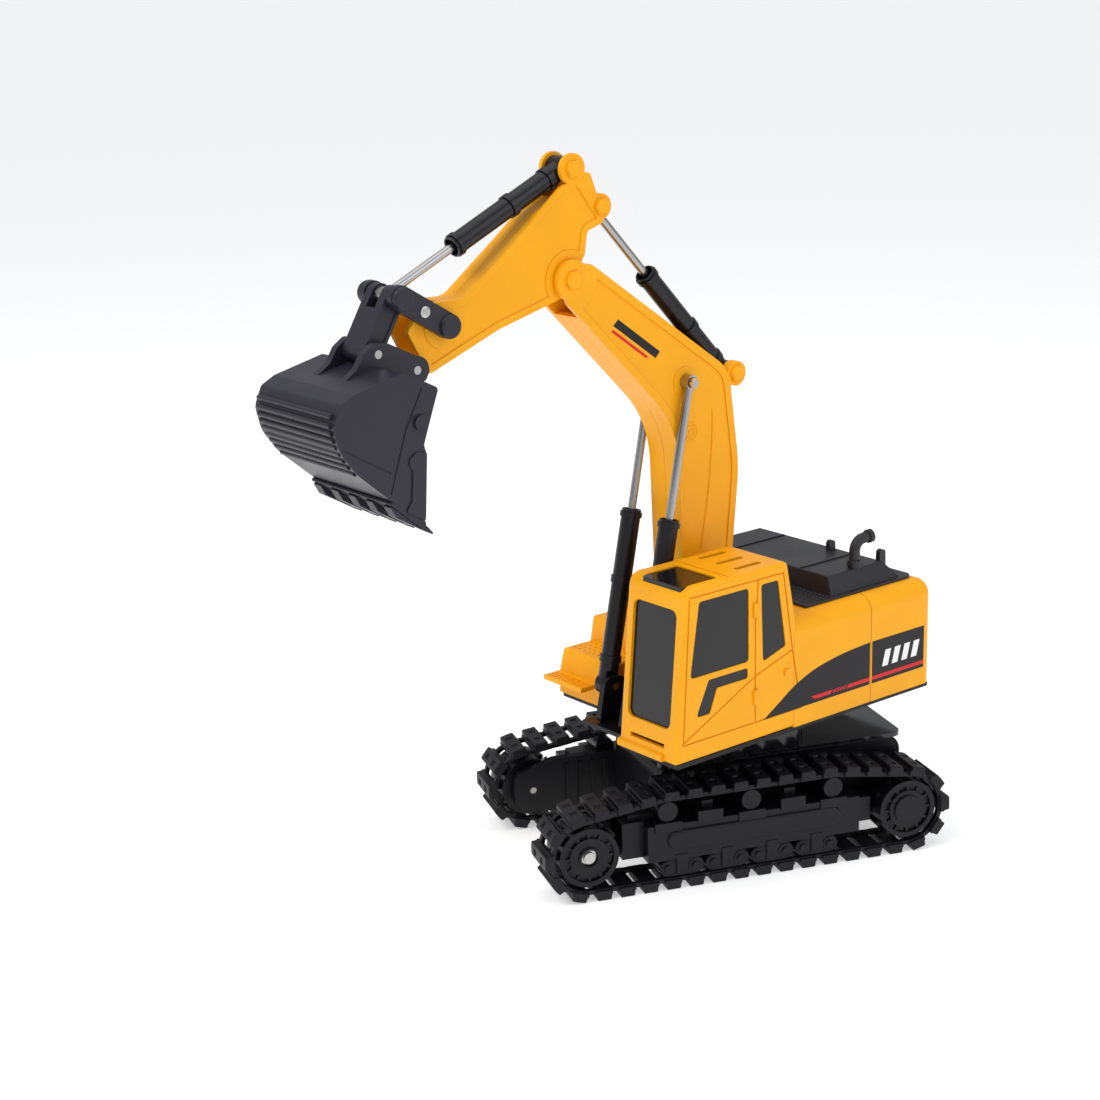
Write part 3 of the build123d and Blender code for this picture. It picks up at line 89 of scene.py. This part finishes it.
def moulded(name, colour, roughness, grain, depth, cloud=0.05, ior=1.5, metallic=0.0, round_edge=0.25,
            shine=0.5):
    """Moulded or drawn finish: grain and its depth in mm as a bump, colour scaled by 1 -+ cloud and
    roughness by a slow noise, edges eased over round_edge mm."""
    material = bpy.data.materials.new(name)
    material.use_nodes = True
    tree = material.node_tree
    tree.nodes.clear()
    place = add(tree, "ShaderNodeTexCoord").outputs["Object"]
    fine = add(tree, "ShaderNodeTexNoise", {"Scale": 1000 / grain, "Detail": 2.0}, {"Vector": place})
    slow = add(tree, "ShaderNodeTexNoise", {"Scale": 1000 / 22.0, "Detail": 3.0}, {"Vector": place})
    base = np.array(linear(colour))
    dark, light = base * (1 - cloud), base * (1 + cloud)
    ramp = add(tree, "ShaderNodeValToRGB", {}, {"Fac": slow.outputs["Fac"]})
    for stop, at, tone in zip(ramp.color_ramp.elements, (0.35, 0.65), (dark, light)):
        stop.position = at
        stop.color = (*np.clip(tone[:3], 0, 1), 1.0)
    gloss = add(tree, "ShaderNodeMapRange", {"From Min": 0.3, "From Max": 0.7, "To Min": roughness - 0.04,
                                             "To Max": roughness + 0.05}, {"Value": slow.outputs["Fac"]})
    edge = add(tree, "ShaderNodeBevel", {"samples": 4, "Radius": round_edge * MM})
    bump = add(tree, "ShaderNodeBump", {"Strength": 1.0, "Distance": depth * MM},
               {"Height": fine.outputs["Fac"], "Normal": edge.outputs["Normal"]})
    shader = add(tree, "ShaderNodeBsdfPrincipled", {"IOR": ior, "Metallic": metallic,
                                                    "Specular IOR Level": shine},
                 {"Base Color": ramp.outputs["Color"], "Roughness": gloss.outputs["Result"],
                  "Normal": bump.outputs["Normal"]})
    add(tree, "ShaderNodeOutputMaterial", {}, {"Surface": shader.outputs["BSDF"]})
    return material


def surface(name, points, faces, material, body, smooth=True):
    """Mesh object from points in mm and index lists, riding on a body."""
    mesh = bpy.data.meshes.new(name)
    places = np.asarray(points).reshape(-1, 3) * MM
    mesh.from_pydata(places.tolist(), [], [list(map(int, f)) for f in faces])
    mesh.materials.append(material)
    mesh.polygons.foreach_set("use_smooth", [smooth] * len(mesh.polygons))
    mesh.update()
    thing = bpy.data.objects.new(name, mesh)
    bpy.context.collection.objects.link(thing)
    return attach(thing, body)


def quads(rows, columns, close_rows=False, close_columns=False):
    """Quad faces over a grid of rows x columns, wrapped round where closed."""
    i = np.arange(rows if close_rows else rows - 1)
    j = np.arange(columns if close_columns else columns - 1)
    i, j = (a.ravel() for a in np.meshgrid(i, j, indexing="ij"))
    up, on = (i + 1) % rows, (j + 1) % columns
    return np.stack([i * columns + j, up * columns + j, up * columns + on, i * columns + on], 1)


base_low, base_high = (np.array(v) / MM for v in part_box("turntable_base"))
AXIS = np.array([(base_low[0] + base_high[0]) / 2, (base_low[1] + base_high[1]) / 2, 0.0])
HALF_BASE, AXLE_Z = 71.5, 19.3       # half the distance between the end wheels, and their height
BELT_INNER, BELT_ARCH = 14.6, 4.9    # inner radius at the wheels, and how far the return run arches up
ROLLER_PITCH, BELT_RISE = 37.0, 8.6  # place and radius of the two upper rollers' arcs
TRACK_Y, PADS = 41.2, 38             # middle of a belt from the toy's centre line, and its pads

# soft matt vinyl: the darkest piece, with only a broad dull sheen
vinyl = moulded("soft black vinyl", "0E0D13", 0.50, 0.35, 0.02, cloud=0.12, ior=1.52, shine=0.28)


def belt_line(grow, count):
    """Points and outward normals evenly spaced along the belt. In each direction the outline takes the
    farthest of four circles, each grown outward by the same amount."""
    turn = np.linspace(0, 2 * np.pi, 7201)
    normal = np.stack([np.cos(turn), np.sin(turn)], 1)
    centres = np.array([(HALF_BASE, AXLE_Z), (-HALF_BASE, AXLE_Z),
                        (-ROLLER_PITCH, AXLE_Z + BELT_INNER + BELT_ARCH - BELT_RISE),
                        (ROLLER_PITCH, AXLE_Z + BELT_INNER + BELT_ARCH - BELT_RISE)])
    radii = np.array([BELT_INNER, BELT_INNER, BELT_RISE, BELT_RISE])
    pick = np.argmax(normal @ centres.T + radii, 1)
    line = centres[pick] + (radii[pick] + grow)[:, None] * normal
    run = np.concatenate([[0], np.cumsum(np.hypot(*np.diff(line, axis=0).T))])
    at = np.linspace(0, run[-1], count, endpoint=False)
    spot = np.stack([np.interp(at, run, line[:, k]) for k in (0, 1)], 1)
    angle = np.interp(at, run, turn)
    return spot, np.stack([np.cos(angle), np.sin(angle)], 1)


# one pad's side section (along the belt, outward): flat sole, broad flat-topped grouser; two shallow
# dimples in its top, so each station across the track gives a scale and the depth of the dimple there
pad_section = np.array([(-3.7, -0.4), (3.7, -0.4), (3.7, 1.2), (3.25, 1.5), (3.05, 3.4), (2.7, 3.76),
                        (1.5, 3.76), (1.0, 3.76), (-1.0, 3.76), (-1.5, 3.76), (-2.7, 3.76), (-3.05, 3.4),
                        (-3.25, 1.5), (-3.7, 1.2)])
IN_DIMPLE = np.isin(np.arange(14), (7, 8))
PAD_REACH = 19.28            # the pads end inside this radius round the end wheels
pad_stations = np.array([(-10, 0.93, 0), (-9.6, 1, 0), (-6.2, 1, 0), (-5.8, 1, 0.6), (-3.0, 1, 0.6),
                         (-2.6, 1, 0), (2.6, 1, 0), (3.0, 1, 0.6), (5.8, 1, 0.6), (6.2, 1, 0),
                         (9.6, 1, 0), (10, 0.93, 0)])


def belt(side):
    """Pads: the section swept across the belt at each even station, held within the belt's outer line.
    Rails: a rectangle carried round the belt."""
    spot, out = belt_line(0.9, PADS)
    tangent = np.stack([-out[:, 1], out[:, 0]], 1)
    section = pad_section[None, None] * pad_stations[None, :, 1, None, None]
    drop = (pad_stations[:, 2, None] * IN_DIMPLE)[None, :, :, None]
    along = section[..., :1] * tangent[:, None, None]
    plane = spot[:, None, None] + along + (section[..., 1:] - drop) * out[:, None, None]
    hub = np.stack([np.clip(plane[..., 0], -HALF_BASE, HALF_BASE), np.full(plane.shape[:3], AXLE_Z)], -1)
    arm = plane - hub
    reach = np.hypot(arm[..., 0], arm[..., 1])[..., None]
    low_side = arm[..., 1:] < 0
    wrap = np.abs(plane[..., :1]) > HALF_BASE
    plane = np.where(low_side | wrap, hub + arm * np.minimum(1, PAD_REACH / reach), plane)
    across = np.broadcast_to(pad_stations[None, :, :1], plane.shape[:3])
    pads = np.stack([plane[..., 0], across + side * TRACK_Y, plane[..., 1]], -1)
    ring = len(pad_section)
    per = ring * len(pad_stations)
    body = quads(len(pad_stations), ring, close_columns=True)
    caps = [list(range(ring))[::-1], list(range(per - ring, per))]
    faces, points = [], [pads.reshape(-1, 3)]
    for index in range(PADS):
        faces += (body[:, ::-1] + index * per).tolist()
        faces += [[v + index * per for v in cap[::-1]] for cap in caps]
    start = PADS * per
    for middle in (-7.4, 7.4):
        steps = 400
        low, normal = belt_line(0.0, steps)
        high, _ = belt_line(1.8, steps)
        wave = 0.28 * (0.5 + 0.5 * np.cos(np.arange(steps) / steps * PADS * 2 * np.pi))[:, None] * normal
        high = high - wave
        rail = []
        for edge, line in ((-1.2, low), (1.2, low), (1.2, high), (-1.2, high)):
            level = np.full(steps, side * TRACK_Y + middle + edge)
            rail.append(np.stack([line[:, 0], level, line[:, 1]], 1))
        points.append(np.stack(rail, 1).reshape(-1, 3))
        faces += (quads(steps, 4, True, True) + start).tolist()
        start += steps * 4
    return np.concatenate(points) + AXIS, faces


def face_out(thing):
    """Turns all faces of a closed mesh outwards."""
    bpy.context.view_layer.objects.active = thing
    thing.select_set(True)
    bpy.ops.object.mode_set(mode="EDIT")
    bpy.ops.mesh.select_all(action="SELECT")
    bpy.ops.mesh.normals_make_consistent(inside=False)
    bpy.ops.object.mode_set(mode="OBJECT")
    thing.select_set(False)
    return thing


for name, side in (("left", 1), ("right", -1)):
    loop = face_out(surface("belt_" + name, *belt(side), vinyl, "undercarriage", smooth=False))
    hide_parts("track_" + name)

# ---------------------------------------------------------------- side frames, wheels and chassis
# Moulded in black ABS with a fine even spark-eroded grain, slightly blue in the light. The wheels turn
# on the drive axles and on shouldered screws; the glossy deck and the turntable base sit on the tub.
# satin black plastic: a soft grey highlight on edges and ribs
black_abs = moulded("moulded black ABS", "0E0D12", 0.36, 0.5, 0.010, cloud=0.08, ior=1.53, shine=0.24)
# the same plastic off a polished mould: mirrors the house above it
polished_abs = moulded("polished black ABS", "0C0C0F", 0.10, 2.5, 0.003, cloud=0.05, ior=1.53, shine=0.5)


def paint(material, *nodes):
    """Puts a material on every slot of these CAD nodes."""
    for name in nodes:
        thing = frame["nodes"][name]
        if not thing.material_slots:
            thing.data.materials.append(material)
        for slot in thing.material_slots:
            slot.material = material


paint(black_abs, "side_frame_left", "side_frame_right", "sprocket_left", "sprocket_right", "idler_left",
      "idler_right", "chassis_frame", "battery_door", "power_switch", "house_floor")
paint(polished_abs, "chassis_deck", "turntable_base")

# ---------------------------------------------------------------- screws
# Zinc-plated steel pan heads with a cross recess. The idler screws sit in the hubs with a washer face;
# the chassis screws close the tub from below and two small ones hold the rocker arms.
# bright plating, slightly warm and mottled; the wire is greyer with a tighter gleam
zinc = moulded("zinc plated steel", "B9B7B2", 0.26, 0.8, 0.004, cloud=0.06, metallic=1.0, round_edge=0.1)
steel = moulded("drawn steel wire", "A7A6A5", 0.24, 0.6, 0.004, cloud=0.06, metallic=1.0, round_edge=0.1)
paint(zinc, "idler_screws", "chassis_screws", "rocker_screws")
paint(steel, "drive_axle_left", "drive_axle_right", "house_pins", "rocker_front_pin", "bucket_pins")


def turned_disc(profile, centre, direction, sides=48, cross=None):
    """Disc turned about a line: each (radius, height) pair becomes a circle of that radius at that height.
    A cross recess (half width, reach, depth) lowers the points near its two arms."""
    profile = np.asarray(profile, float)
    turn = np.linspace(0, 2 * np.pi, sides, endpoint=False)
    x = profile[:, :1] * np.cos(turn)
    y = profile[:, :1] * np.sin(turn)
    z = np.repeat(profile[:, 1:], sides, 1)
    if cross:
        width, reach, depth = cross
        slot = np.minimum(np.abs(x), np.abs(y))
        near_arm = np.clip((width - slot) / (0.35 * width), 0, 1)
        z = z - depth * near_arm * np.clip((reach - np.hypot(x, y)) / 0.15, 0, 1)
    direction = np.asarray(direction, float)
    side = np.cross(direction, (0.3, 0.2, 0.93))
    side /= np.linalg.norm(side)
    third = np.cross(direction, side)
    points = centre + x[..., None] * side + y[..., None] * third + z[..., None] * direction
    return points.reshape(-1, 3), quads(len(profile), sides, close_columns=True).tolist()


def pan_head(radius, height):
    """Domed screw head as radius and height pairs: height falls from the centre as a flattened circle."""
    r = np.linspace(0.02, radius, 22)
    dome = height * np.sqrt(np.clip(1 - (r / radius) ** 2 * 0.75, 0, 1))
    return np.concatenate([np.stack([r, dome], 1), [(radius, 0.0)]])


def joined(parts):
    """Several point and face lists as one."""
    points, faces, start = [], [], 0
    for some, quad in parts:
        points.append(some)
        faces += [[v + start for v in f] for f in quad]
        start += len(some)
    return np.concatenate(points), faces


heads = []
for side in (1, -1):
    hub = AXIS + (HALF_BASE, side * 48.25, AXLE_Z)
    heads.append(turned_disc([(0.1, 0.5), (3.0, 0.5), (3.35, 0.35), (3.35, -0.1)], hub, (0, side, 0)))
    heads.append(turned_disc(pan_head(2.35, 1.5), hub + (0, side * 0.45, 0), (0, side, 0),
                             cross=(0.36, 1.45, 0.75)))
idler_heads = surface("idler_screw_heads", *joined(heads), zinc, "undercarriage")
face_out(idler_heads)

bottom_heads = [turned_disc(pan_head(2.35, 0.5), AXIS + (x, y, 8.58), (0, 0, -1), cross=(0.34, 1.4, 0.4))
                for x in (-58.0, -40.0, 26.0) for y in (-22.6, 22.6)]
face_out(surface("tub_screw_heads", *joined(bottom_heads), zinc, "undercarriage"))

# ---------------------------------------------------------------- works inside
# Drawn steel motor cans, moulded gearbox cases and gears, a green board and a shrink-wrapped battery.
# unpainted works: milky gear nylon, dull case plastic, glossy green mask and a clinging blue wrap
nylon = moulded("natural nylon", "DAD6CA", 0.42, 0.8, 0.01, ior=1.53)
case_abs = moulded("grey moulded ABS", "3A3B40", 0.45, 0.5, 0.02, ior=1.53)
solder_mask = moulded("green solder mask", "0F5A33", 0.3, 1.5, 0.02, ior=1.55)
shrink_wrap = moulded("blue shrink wrap", "1F4F9C", 0.25, 3.0, 0.03, ior=1.5)
paint(steel, "drive_motor_left", "drive_motor_right", "swing_motor", "boom_motor")
paint(case_abs, "drive_gearbox_left", "drive_gearbox_right", "boom_gearbox")
paint(nylon, "swing_gear", "swing_pinion")
paint(solder_mask, "circuit_board")
paint(shrink_wrap, "battery_pack")

# ---------------------------------------------------------------- house
# The cab and body are one yellow ABS moulding, the tail another; both have a satin spark-eroded face.
# Window panels are one dark smoked moulding behind each opening, polished.
# warm yellow, even and satin: the toy's main colour; the smoked panels read as near-black glass
yellow_abs = moulded("moulded yellow ABS", "FAAC0E", 0.36, 0.6, 0.006, cloud=0.025, ior=1.53, shine=0.2)
smoked = moulded("smoked styrene", "0E0D0E", 0.16, 4.0, 0.004, cloud=0.05, ior=1.59, shine=0.3)
paint(yellow_abs, "body_shell", "rear_shell", "front_platform")
paint(smoked, "left_windows", "right_window", "windshield", "roof_window")

lift = next(j for j in frame["joints"] if j["name"] == "boom_lift")["axis"]
TURN = math.atan2(lift[0], -lift[1])
HOUSE = np.array([[math.cos(TURN), -math.sin(TURN), 0], [math.sin(TURN), math.cos(TURN), 0], [0, 0, 1]])
SIDE = 50.4


def on_house(points):
    """House coordinates (ahead, left, up) to the row frame: turned about the swing axis."""
    return np.asarray(points, float).reshape(-1, 3) @ HOUSE.T + AXIS


def film(name, outline, side, level, material, body, thick=0.14, middle=0.0):
    """Flat plate of a printed film on a side face: the outline drawn in (ahead, up), closed by its rim."""
    outline = np.asarray(outline, float)
    count = len(outline)
    low, high = (np.stack([outline[:, 0], np.full(count, middle + side * v), outline[:, 1]], 1)
                 for v in (level - 0.3, level + thick))
    rim = [[i, (i + 1) % count, count + (i + 1) % count, count + i] for i in range(count)]
    faces = rim + [list(range(count))[::-1], list(range(count, 2 * count))]
    plate = surface(name, on_house(np.concatenate([low, high])), faces, material, body, smooth=False)
    return face_out(plate)


def curve_through(points, count=40):
    """Smooth line through points: each run is a Catmull-Rom cubic, sampled evenly."""
    p = np.asarray(points, float)
    p = np.concatenate([[2 * p[0] - p[1]], p, [2 * p[-1] - p[-2]]])
    t = np.linspace(0, len(p) - 3 - 1e-9, count)
    i = t.astype(int)
    s = (t - i)[:, None]
    a, b, c, d = p[i], p[i + 1], p[i + 2], p[i + 3]
    square, cube = 2 * a - 5 * b + 4 * c - d, 3 * b - a - 3 * c + d
    return 0.5 * (2 * b + (c - a) * s + square * s ** 2 + cube * s ** 3)


# ---------------------------------------------------------------- side films
# Printed vinyl films on both flanks: a dark sweep with a red line, and a dark panel on the tail with
# plain slanted bars.
# thin films, smoother than the plastic under them: charcoal, signal red and white
dark_film = moulded("dark printed vinyl", "232022", 0.34, 1.2, 0.004, ior=1.5, shine=0.2)
red_film = moulded("red printed vinyl", "DC1E1B", 0.34, 1.2, 0.004, ior=1.5, shine=0.25)
white_film = moulded("white printed vinyl", "F2F1EE", 0.32, 1.2, 0.004, ior=1.5)
sweep_top = curve_through([(15.2, 70.0), (7.0, 74.9), (-2.0, 80.2), (-12.4, 84.3), (-23.0, 86.6),
                           (-33.8, 88.0), (-47.4, 88.9)])
sweep = np.concatenate([sweep_top, [(-47.4, 70.0)]])
red_line = [(-11.9, 73.2), (-25.0, 73.2), (-23.6, 71.6), (-14.2, 71.6)]
slashes = [[(x, 73.2), (x - 1.2, 73.2), (x + 0.2, 71.6), (x + 1.4, 71.6)]
           for x in (-26.0, -28.0, -30.0, -32.0)]
red_tail = [(-34.4, 73.2), (-47.4, 73.2), (-47.4, 71.6), (-33.0, 71.6)]
panel = [(-48.8, 88.9), (-81.4, 88.9), (-81.4, 70.0), (-48.8, 70.0)]
panel_red = [(-48.8, 73.2), (-81.4, 73.2), (-81.4, 71.6), (-48.8, 71.6)]
bars = [[(x, 83.4), (x - 3.6, 83.4), (x - 1.6, 76.2), (x + 2.0, 76.2)]
        for x in (-57.0, -63.0, -69.0, -75.0)]
for name, side in (("left", 1), ("right", -1)):
    film("flank_film_" + name, sweep, side, SIDE, dark_film, "house", 0.06)
    film("tail_film_" + name, panel, side, SIDE, dark_film, "house", 0.06)
    for tag, shape in [("line", red_line), ("tail_line", red_tail), ("panel_line", panel_red)] + [
            (f"slash_{k}", shape) for k, shape in enumerate(slashes)]:
        film(f"red_{tag}_{name}", shape, side, SIDE, red_film, "house", 0.1)
    for k, shape in enumerate(bars):
        film(f"white_bar_{k}_{name}", shape, side, SIDE, white_film, "house", 0.1)

# ---------------------------------------------------------------- hood and exhaust
# The hood is a separate black moulding with a studded tread strip in front of its raised cover; the
# exhaust is a bent stack pressed into it.
# a coarser grain than the chassis, so it reads as a lighter grey-black
hood_abs = moulded("grained black ABS", "1F1E23", 0.42, 0.7, 0.012, cloud=0.06, ior=1.53, shine=0.4)
paint(hood_abs, "engine_hood", "exhaust_pipe")


def studs(name, rows, columns, x, y, z, radius, height, material):
    """Rows of low round studs, each a four-step dome of eight sides."""
    turn = np.linspace(0, 2 * np.pi, 8, endpoint=False)
    profile = np.array([(1.0, -0.1), (0.92, 0.6), (0.6, 0.95), (0.05, 1.0)])
    gx, gy = np.meshgrid(np.linspace(*x, rows), np.linspace(*y, columns), indexing="ij")
    gx = gx + 0.0 * gy
    gy = gy + (np.arange(rows) % 2)[:, None] * (y[1] - y[0]) / (columns - 1) / 2
    ring = np.stack([profile[:, :1] * np.cos(turn) * radius, profile[:, :1] * np.sin(turn) * radius,
                     np.repeat(profile[:, 1:], 8, 1) * height], -1)
    centre = np.stack([gx.ravel(), gy.ravel(), np.full(gx.size, z)], 1)
    points = centre[:, None, None] + ring[None]
    one = quads(4, 8, close_columns=True)
    faces = np.concatenate([one + k * 32 for k in range(len(centre))]).tolist()
    return surface(name, on_house(points), faces, material, "house")


TREAD_X, TREAD_Z, STUD_R, STUD_UP = (-31.0, -19.5), 110.4, 0.75, 0.35
for name, columns, span_y in (("hood_tread", 11, (19.0, 40.5)), ("hood_tread_right", 22, (-40.5, 16.0))):
    tread = studs(name, 5, columns, TREAD_X, span_y, TREAD_Z, STUD_R, STUD_UP, hood_abs)

# ---------------------------------------------------------------- boom and stick
# Each is two yellow ABS halves closed on the centre plane; the pins' six-sided heads are yellow caps.
paint(yellow_abs, "boom_left_half", "boom_right_half", "stick_left_half", "stick_right_half",
      "stick_pins", "boom_pins")
MIDDLE = -1.5


def turned_on(profile, point, level, side, sides=48, cross=None):
    """Turned disc facing left or right on the arm, at a point (ahead, up) and a level from its middle."""
    points, faces = turned_disc(profile, np.zeros(3), (0, side, 0), sides, cross)
    return on_house(points + (point[0], MIDDLE + side * level, point[1])), faces


def bead(line, level, side, radius):
    """Raised half-round line on a side face: a half circle carried along a smooth curve. Its height
    falls at both ends as the square root of 1 minus the twelfth power of the way from the middle."""
    path = curve_through(line, 48)
    way = np.gradient(path, axis=0)
    way /= np.hypot(*way.T)[:, None]
    turn = np.linspace(-0.2, np.pi + 0.2, 9)
    fade = np.sqrt(np.clip(1 - np.abs(np.linspace(-1, 1, len(path))) ** 12, 0.02, 1))
    x = path[:, None, 0] - way[:, None, 1] * np.cos(turn) * radius
    z = path[:, None, 1] + way[:, None, 0] * np.cos(turn) * radius
    y = MIDDLE + side * (level + np.sin(turn)[None] * radius * fade[:, None])
    return on_house(np.stack([x, y, z], -1)), quads(len(path), 9).tolist()


rings = [(0.02, 0.5), (0.9, 0.5), (1.15, 0.1), (1.6, 0.1), (1.85, 0.5), (2.5, 0.5), (2.75, 0.1),
         (3.3, 0.1), (3.5, 0.5), (4.0, 0.5), (4.2, -0.1)]
emblems = [turned_on(rings, (15.6, 183.8), 8.7, side) for side in (1, -1)]
lines = [bead([(3, 192), (3, 182), (5, 160), (10, 132)], 8.7, side, 0.55) for side in (1, -1)]
surface("boom_raised_lines", *joined(emblems + lines), yellow_abs, "boom")
nut = [(0.02, 1.15), (1.9, 1.15), (2.33, 0.95), (2.33, -0.12)]
nuts = [turned_on(nut, (18.5, 205.3), 14.3, side, sides=6) for side in (1, -1)]
surface("cylinder_pin_nuts", *joined(nuts), steel, "boom", smooth=False)
mark = [(56.0, 232.9), (53.4, 235.2), (31.6, 219.4), (34.0, 217.0)]
pill = [(57.0, 230.6), (56.2, 231.5), (38.0, 218.3), (38.9, 217.5)]
for name, side in (("left", 1), ("right", -1)):
    film("boom_bar_" + name, mark, side, 8.7, dark_film, "boom", 0.06, MIDDLE)
    film("boom_stripe_" + name, pill, side, 8.7, red_film, "boom", 0.06, MIDDLE)

# ---------------------------------------------------------------- cylinders
# Barrels are black ABS tubes with moulded collars; the rods are bright drawn steel with a flattened eye.
# smooth tubes with a narrow bright line along them
barrel_abs = moulded("smooth black ABS", "121116", 0.27, 0.6, 0.006, cloud=0.06, ior=1.53, shine=0.3)
paint(barrel_abs, "boom_cylinder_barrel_left", "boom_cylinder_barrel_right", "stick_cylinder_barrel",
      "bucket_cylinder_barrel")
paint(steel, "boom_cylinder_rod_left", "boom_cylinder_rod_right", "stick_cylinder_rod",
      "bucket_cylinder_rod")

# ---------------------------------------------------------------- bucket and linkage
# Moulded in blue-black ABS with a matt face.
# bluer and lighter than the other blacks
slate_abs = moulded("blue-black moulded ABS", "25232E", 0.38, 0.5, 0.012, cloud=0.06, ior=1.53, shine=0.32)
paint(slate_abs, "bucket", "bucket_link", "rocker_arm_left", "rocker_arm_right")
arm_heads = [turned_on(pan_head(2.12, 0.5), (147.38, 250.3), 10.32, side, cross=(0.32, 1.3, 0.4))
             for side in (1, -1)]
surface("rocker_screw_heads", *joined(arm_heads), zinc, "rocker")

# ---------------------------------------------------------------- floor, light and camera
# Plain pale studio: matt floor, a large soft key above left, a fill and a pale surround.
# flat white that glows a little, so the ground stays pale up to the horizon
floor_paint = moulded("matt white floor", "EDEDED", 0.8, 3.0, 0.0, cloud=0.004)
glow = floor_paint.node_tree.nodes["Principled BSDF"]
glow.inputs["Emission Color"].default_value = (1, 1, 1, 1)
glow.inputs["Emission Strength"].default_value = 0.45
span, drop = 20000.0, -0.05
corners = [(-span, -span, drop), (span, -span, drop), (span, span, drop), (-span, span, drop)]
ground = surface("studio_floor", corners, [(0, 1, 2, 3)], floor_paint, "undercarriage", smooth=False)
ground.parent = None
if "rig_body" in ground:
    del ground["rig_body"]

world = bpy.data.worlds.new("studio")
bpy.context.scene.world = world
world.use_nodes = True
world.node_tree.nodes["Background"].inputs["Color"].default_value = linear("F4F6FA")
world.node_tree.nodes["Background"].inputs["Strength"].default_value = 0.55

AZ, EL, ROLL = (math.radians(angle) for angle in (17.23, 15.98, -1.49))
REACH, FOCAL, FRAME_WIDTH, FILM_WIDTH = 900.0, 2175.39, 1100, 36.0
target = AXIS + (69.45, 0.0, 136.39)
back = np.array([math.sin(AZ) * math.cos(EL), math.cos(AZ) * math.cos(EL), math.sin(EL)])
right = np.array([-math.cos(AZ), math.sin(AZ), 0.0])
up = np.cross(back, right)
right, up = math.cos(ROLL) * right + math.sin(ROLL) * up, -math.sin(ROLL) * right + math.cos(ROLL) * up


def lamp(name, at, size, power, tint="FFFFFF"):
    """Soft square light at a place given as right, up and towards the camera from the toy, in mm."""
    light = bpy.data.lights.new(name, "AREA")
    light.size = size * MM
    light.energy = power
    light.color = linear(tint)[:3]
    thing = bpy.data.objects.new(name, light)
    place = target + at[0] * right + at[1] * np.array([0, 0, 1.0]) + at[2] * back
    thing.location = place * MM
    thing.rotation_mode = "QUATERNION"
    thing.rotation_quaternion = Vector(target * MM - place * MM).to_track_quat("-Z", "Y")
    bpy.context.collection.objects.link(thing)


lamp("key", (-700, 900, 500), 600, 8.0, "FFFDF8")
lamp("fill", (900, 500, 500), 800, 3.0, "F6F9FF")
lamp("top", (0, 1100, -100), 900, 3.0)

camera_data = bpy.data.cameras.new("camera")
camera_data.sensor_width = FILM_WIDTH
camera_data.lens = FOCAL * FILM_WIDTH / FRAME_WIDTH
camera_data.clip_start, camera_data.clip_end = 0.01, 60
camera = bpy.data.objects.new("camera", camera_data)
place = (target + back * REACH) * MM
camera.matrix_world = Matrix([[right[i], up[i], back[i], place[i]] for i in range(3)] + [[0, 0, 0, 1]])
bpy.context.collection.objects.link(camera)
bpy.context.scene.camera = camera
bpy.context.scene.view_settings.view_transform = "Standard"
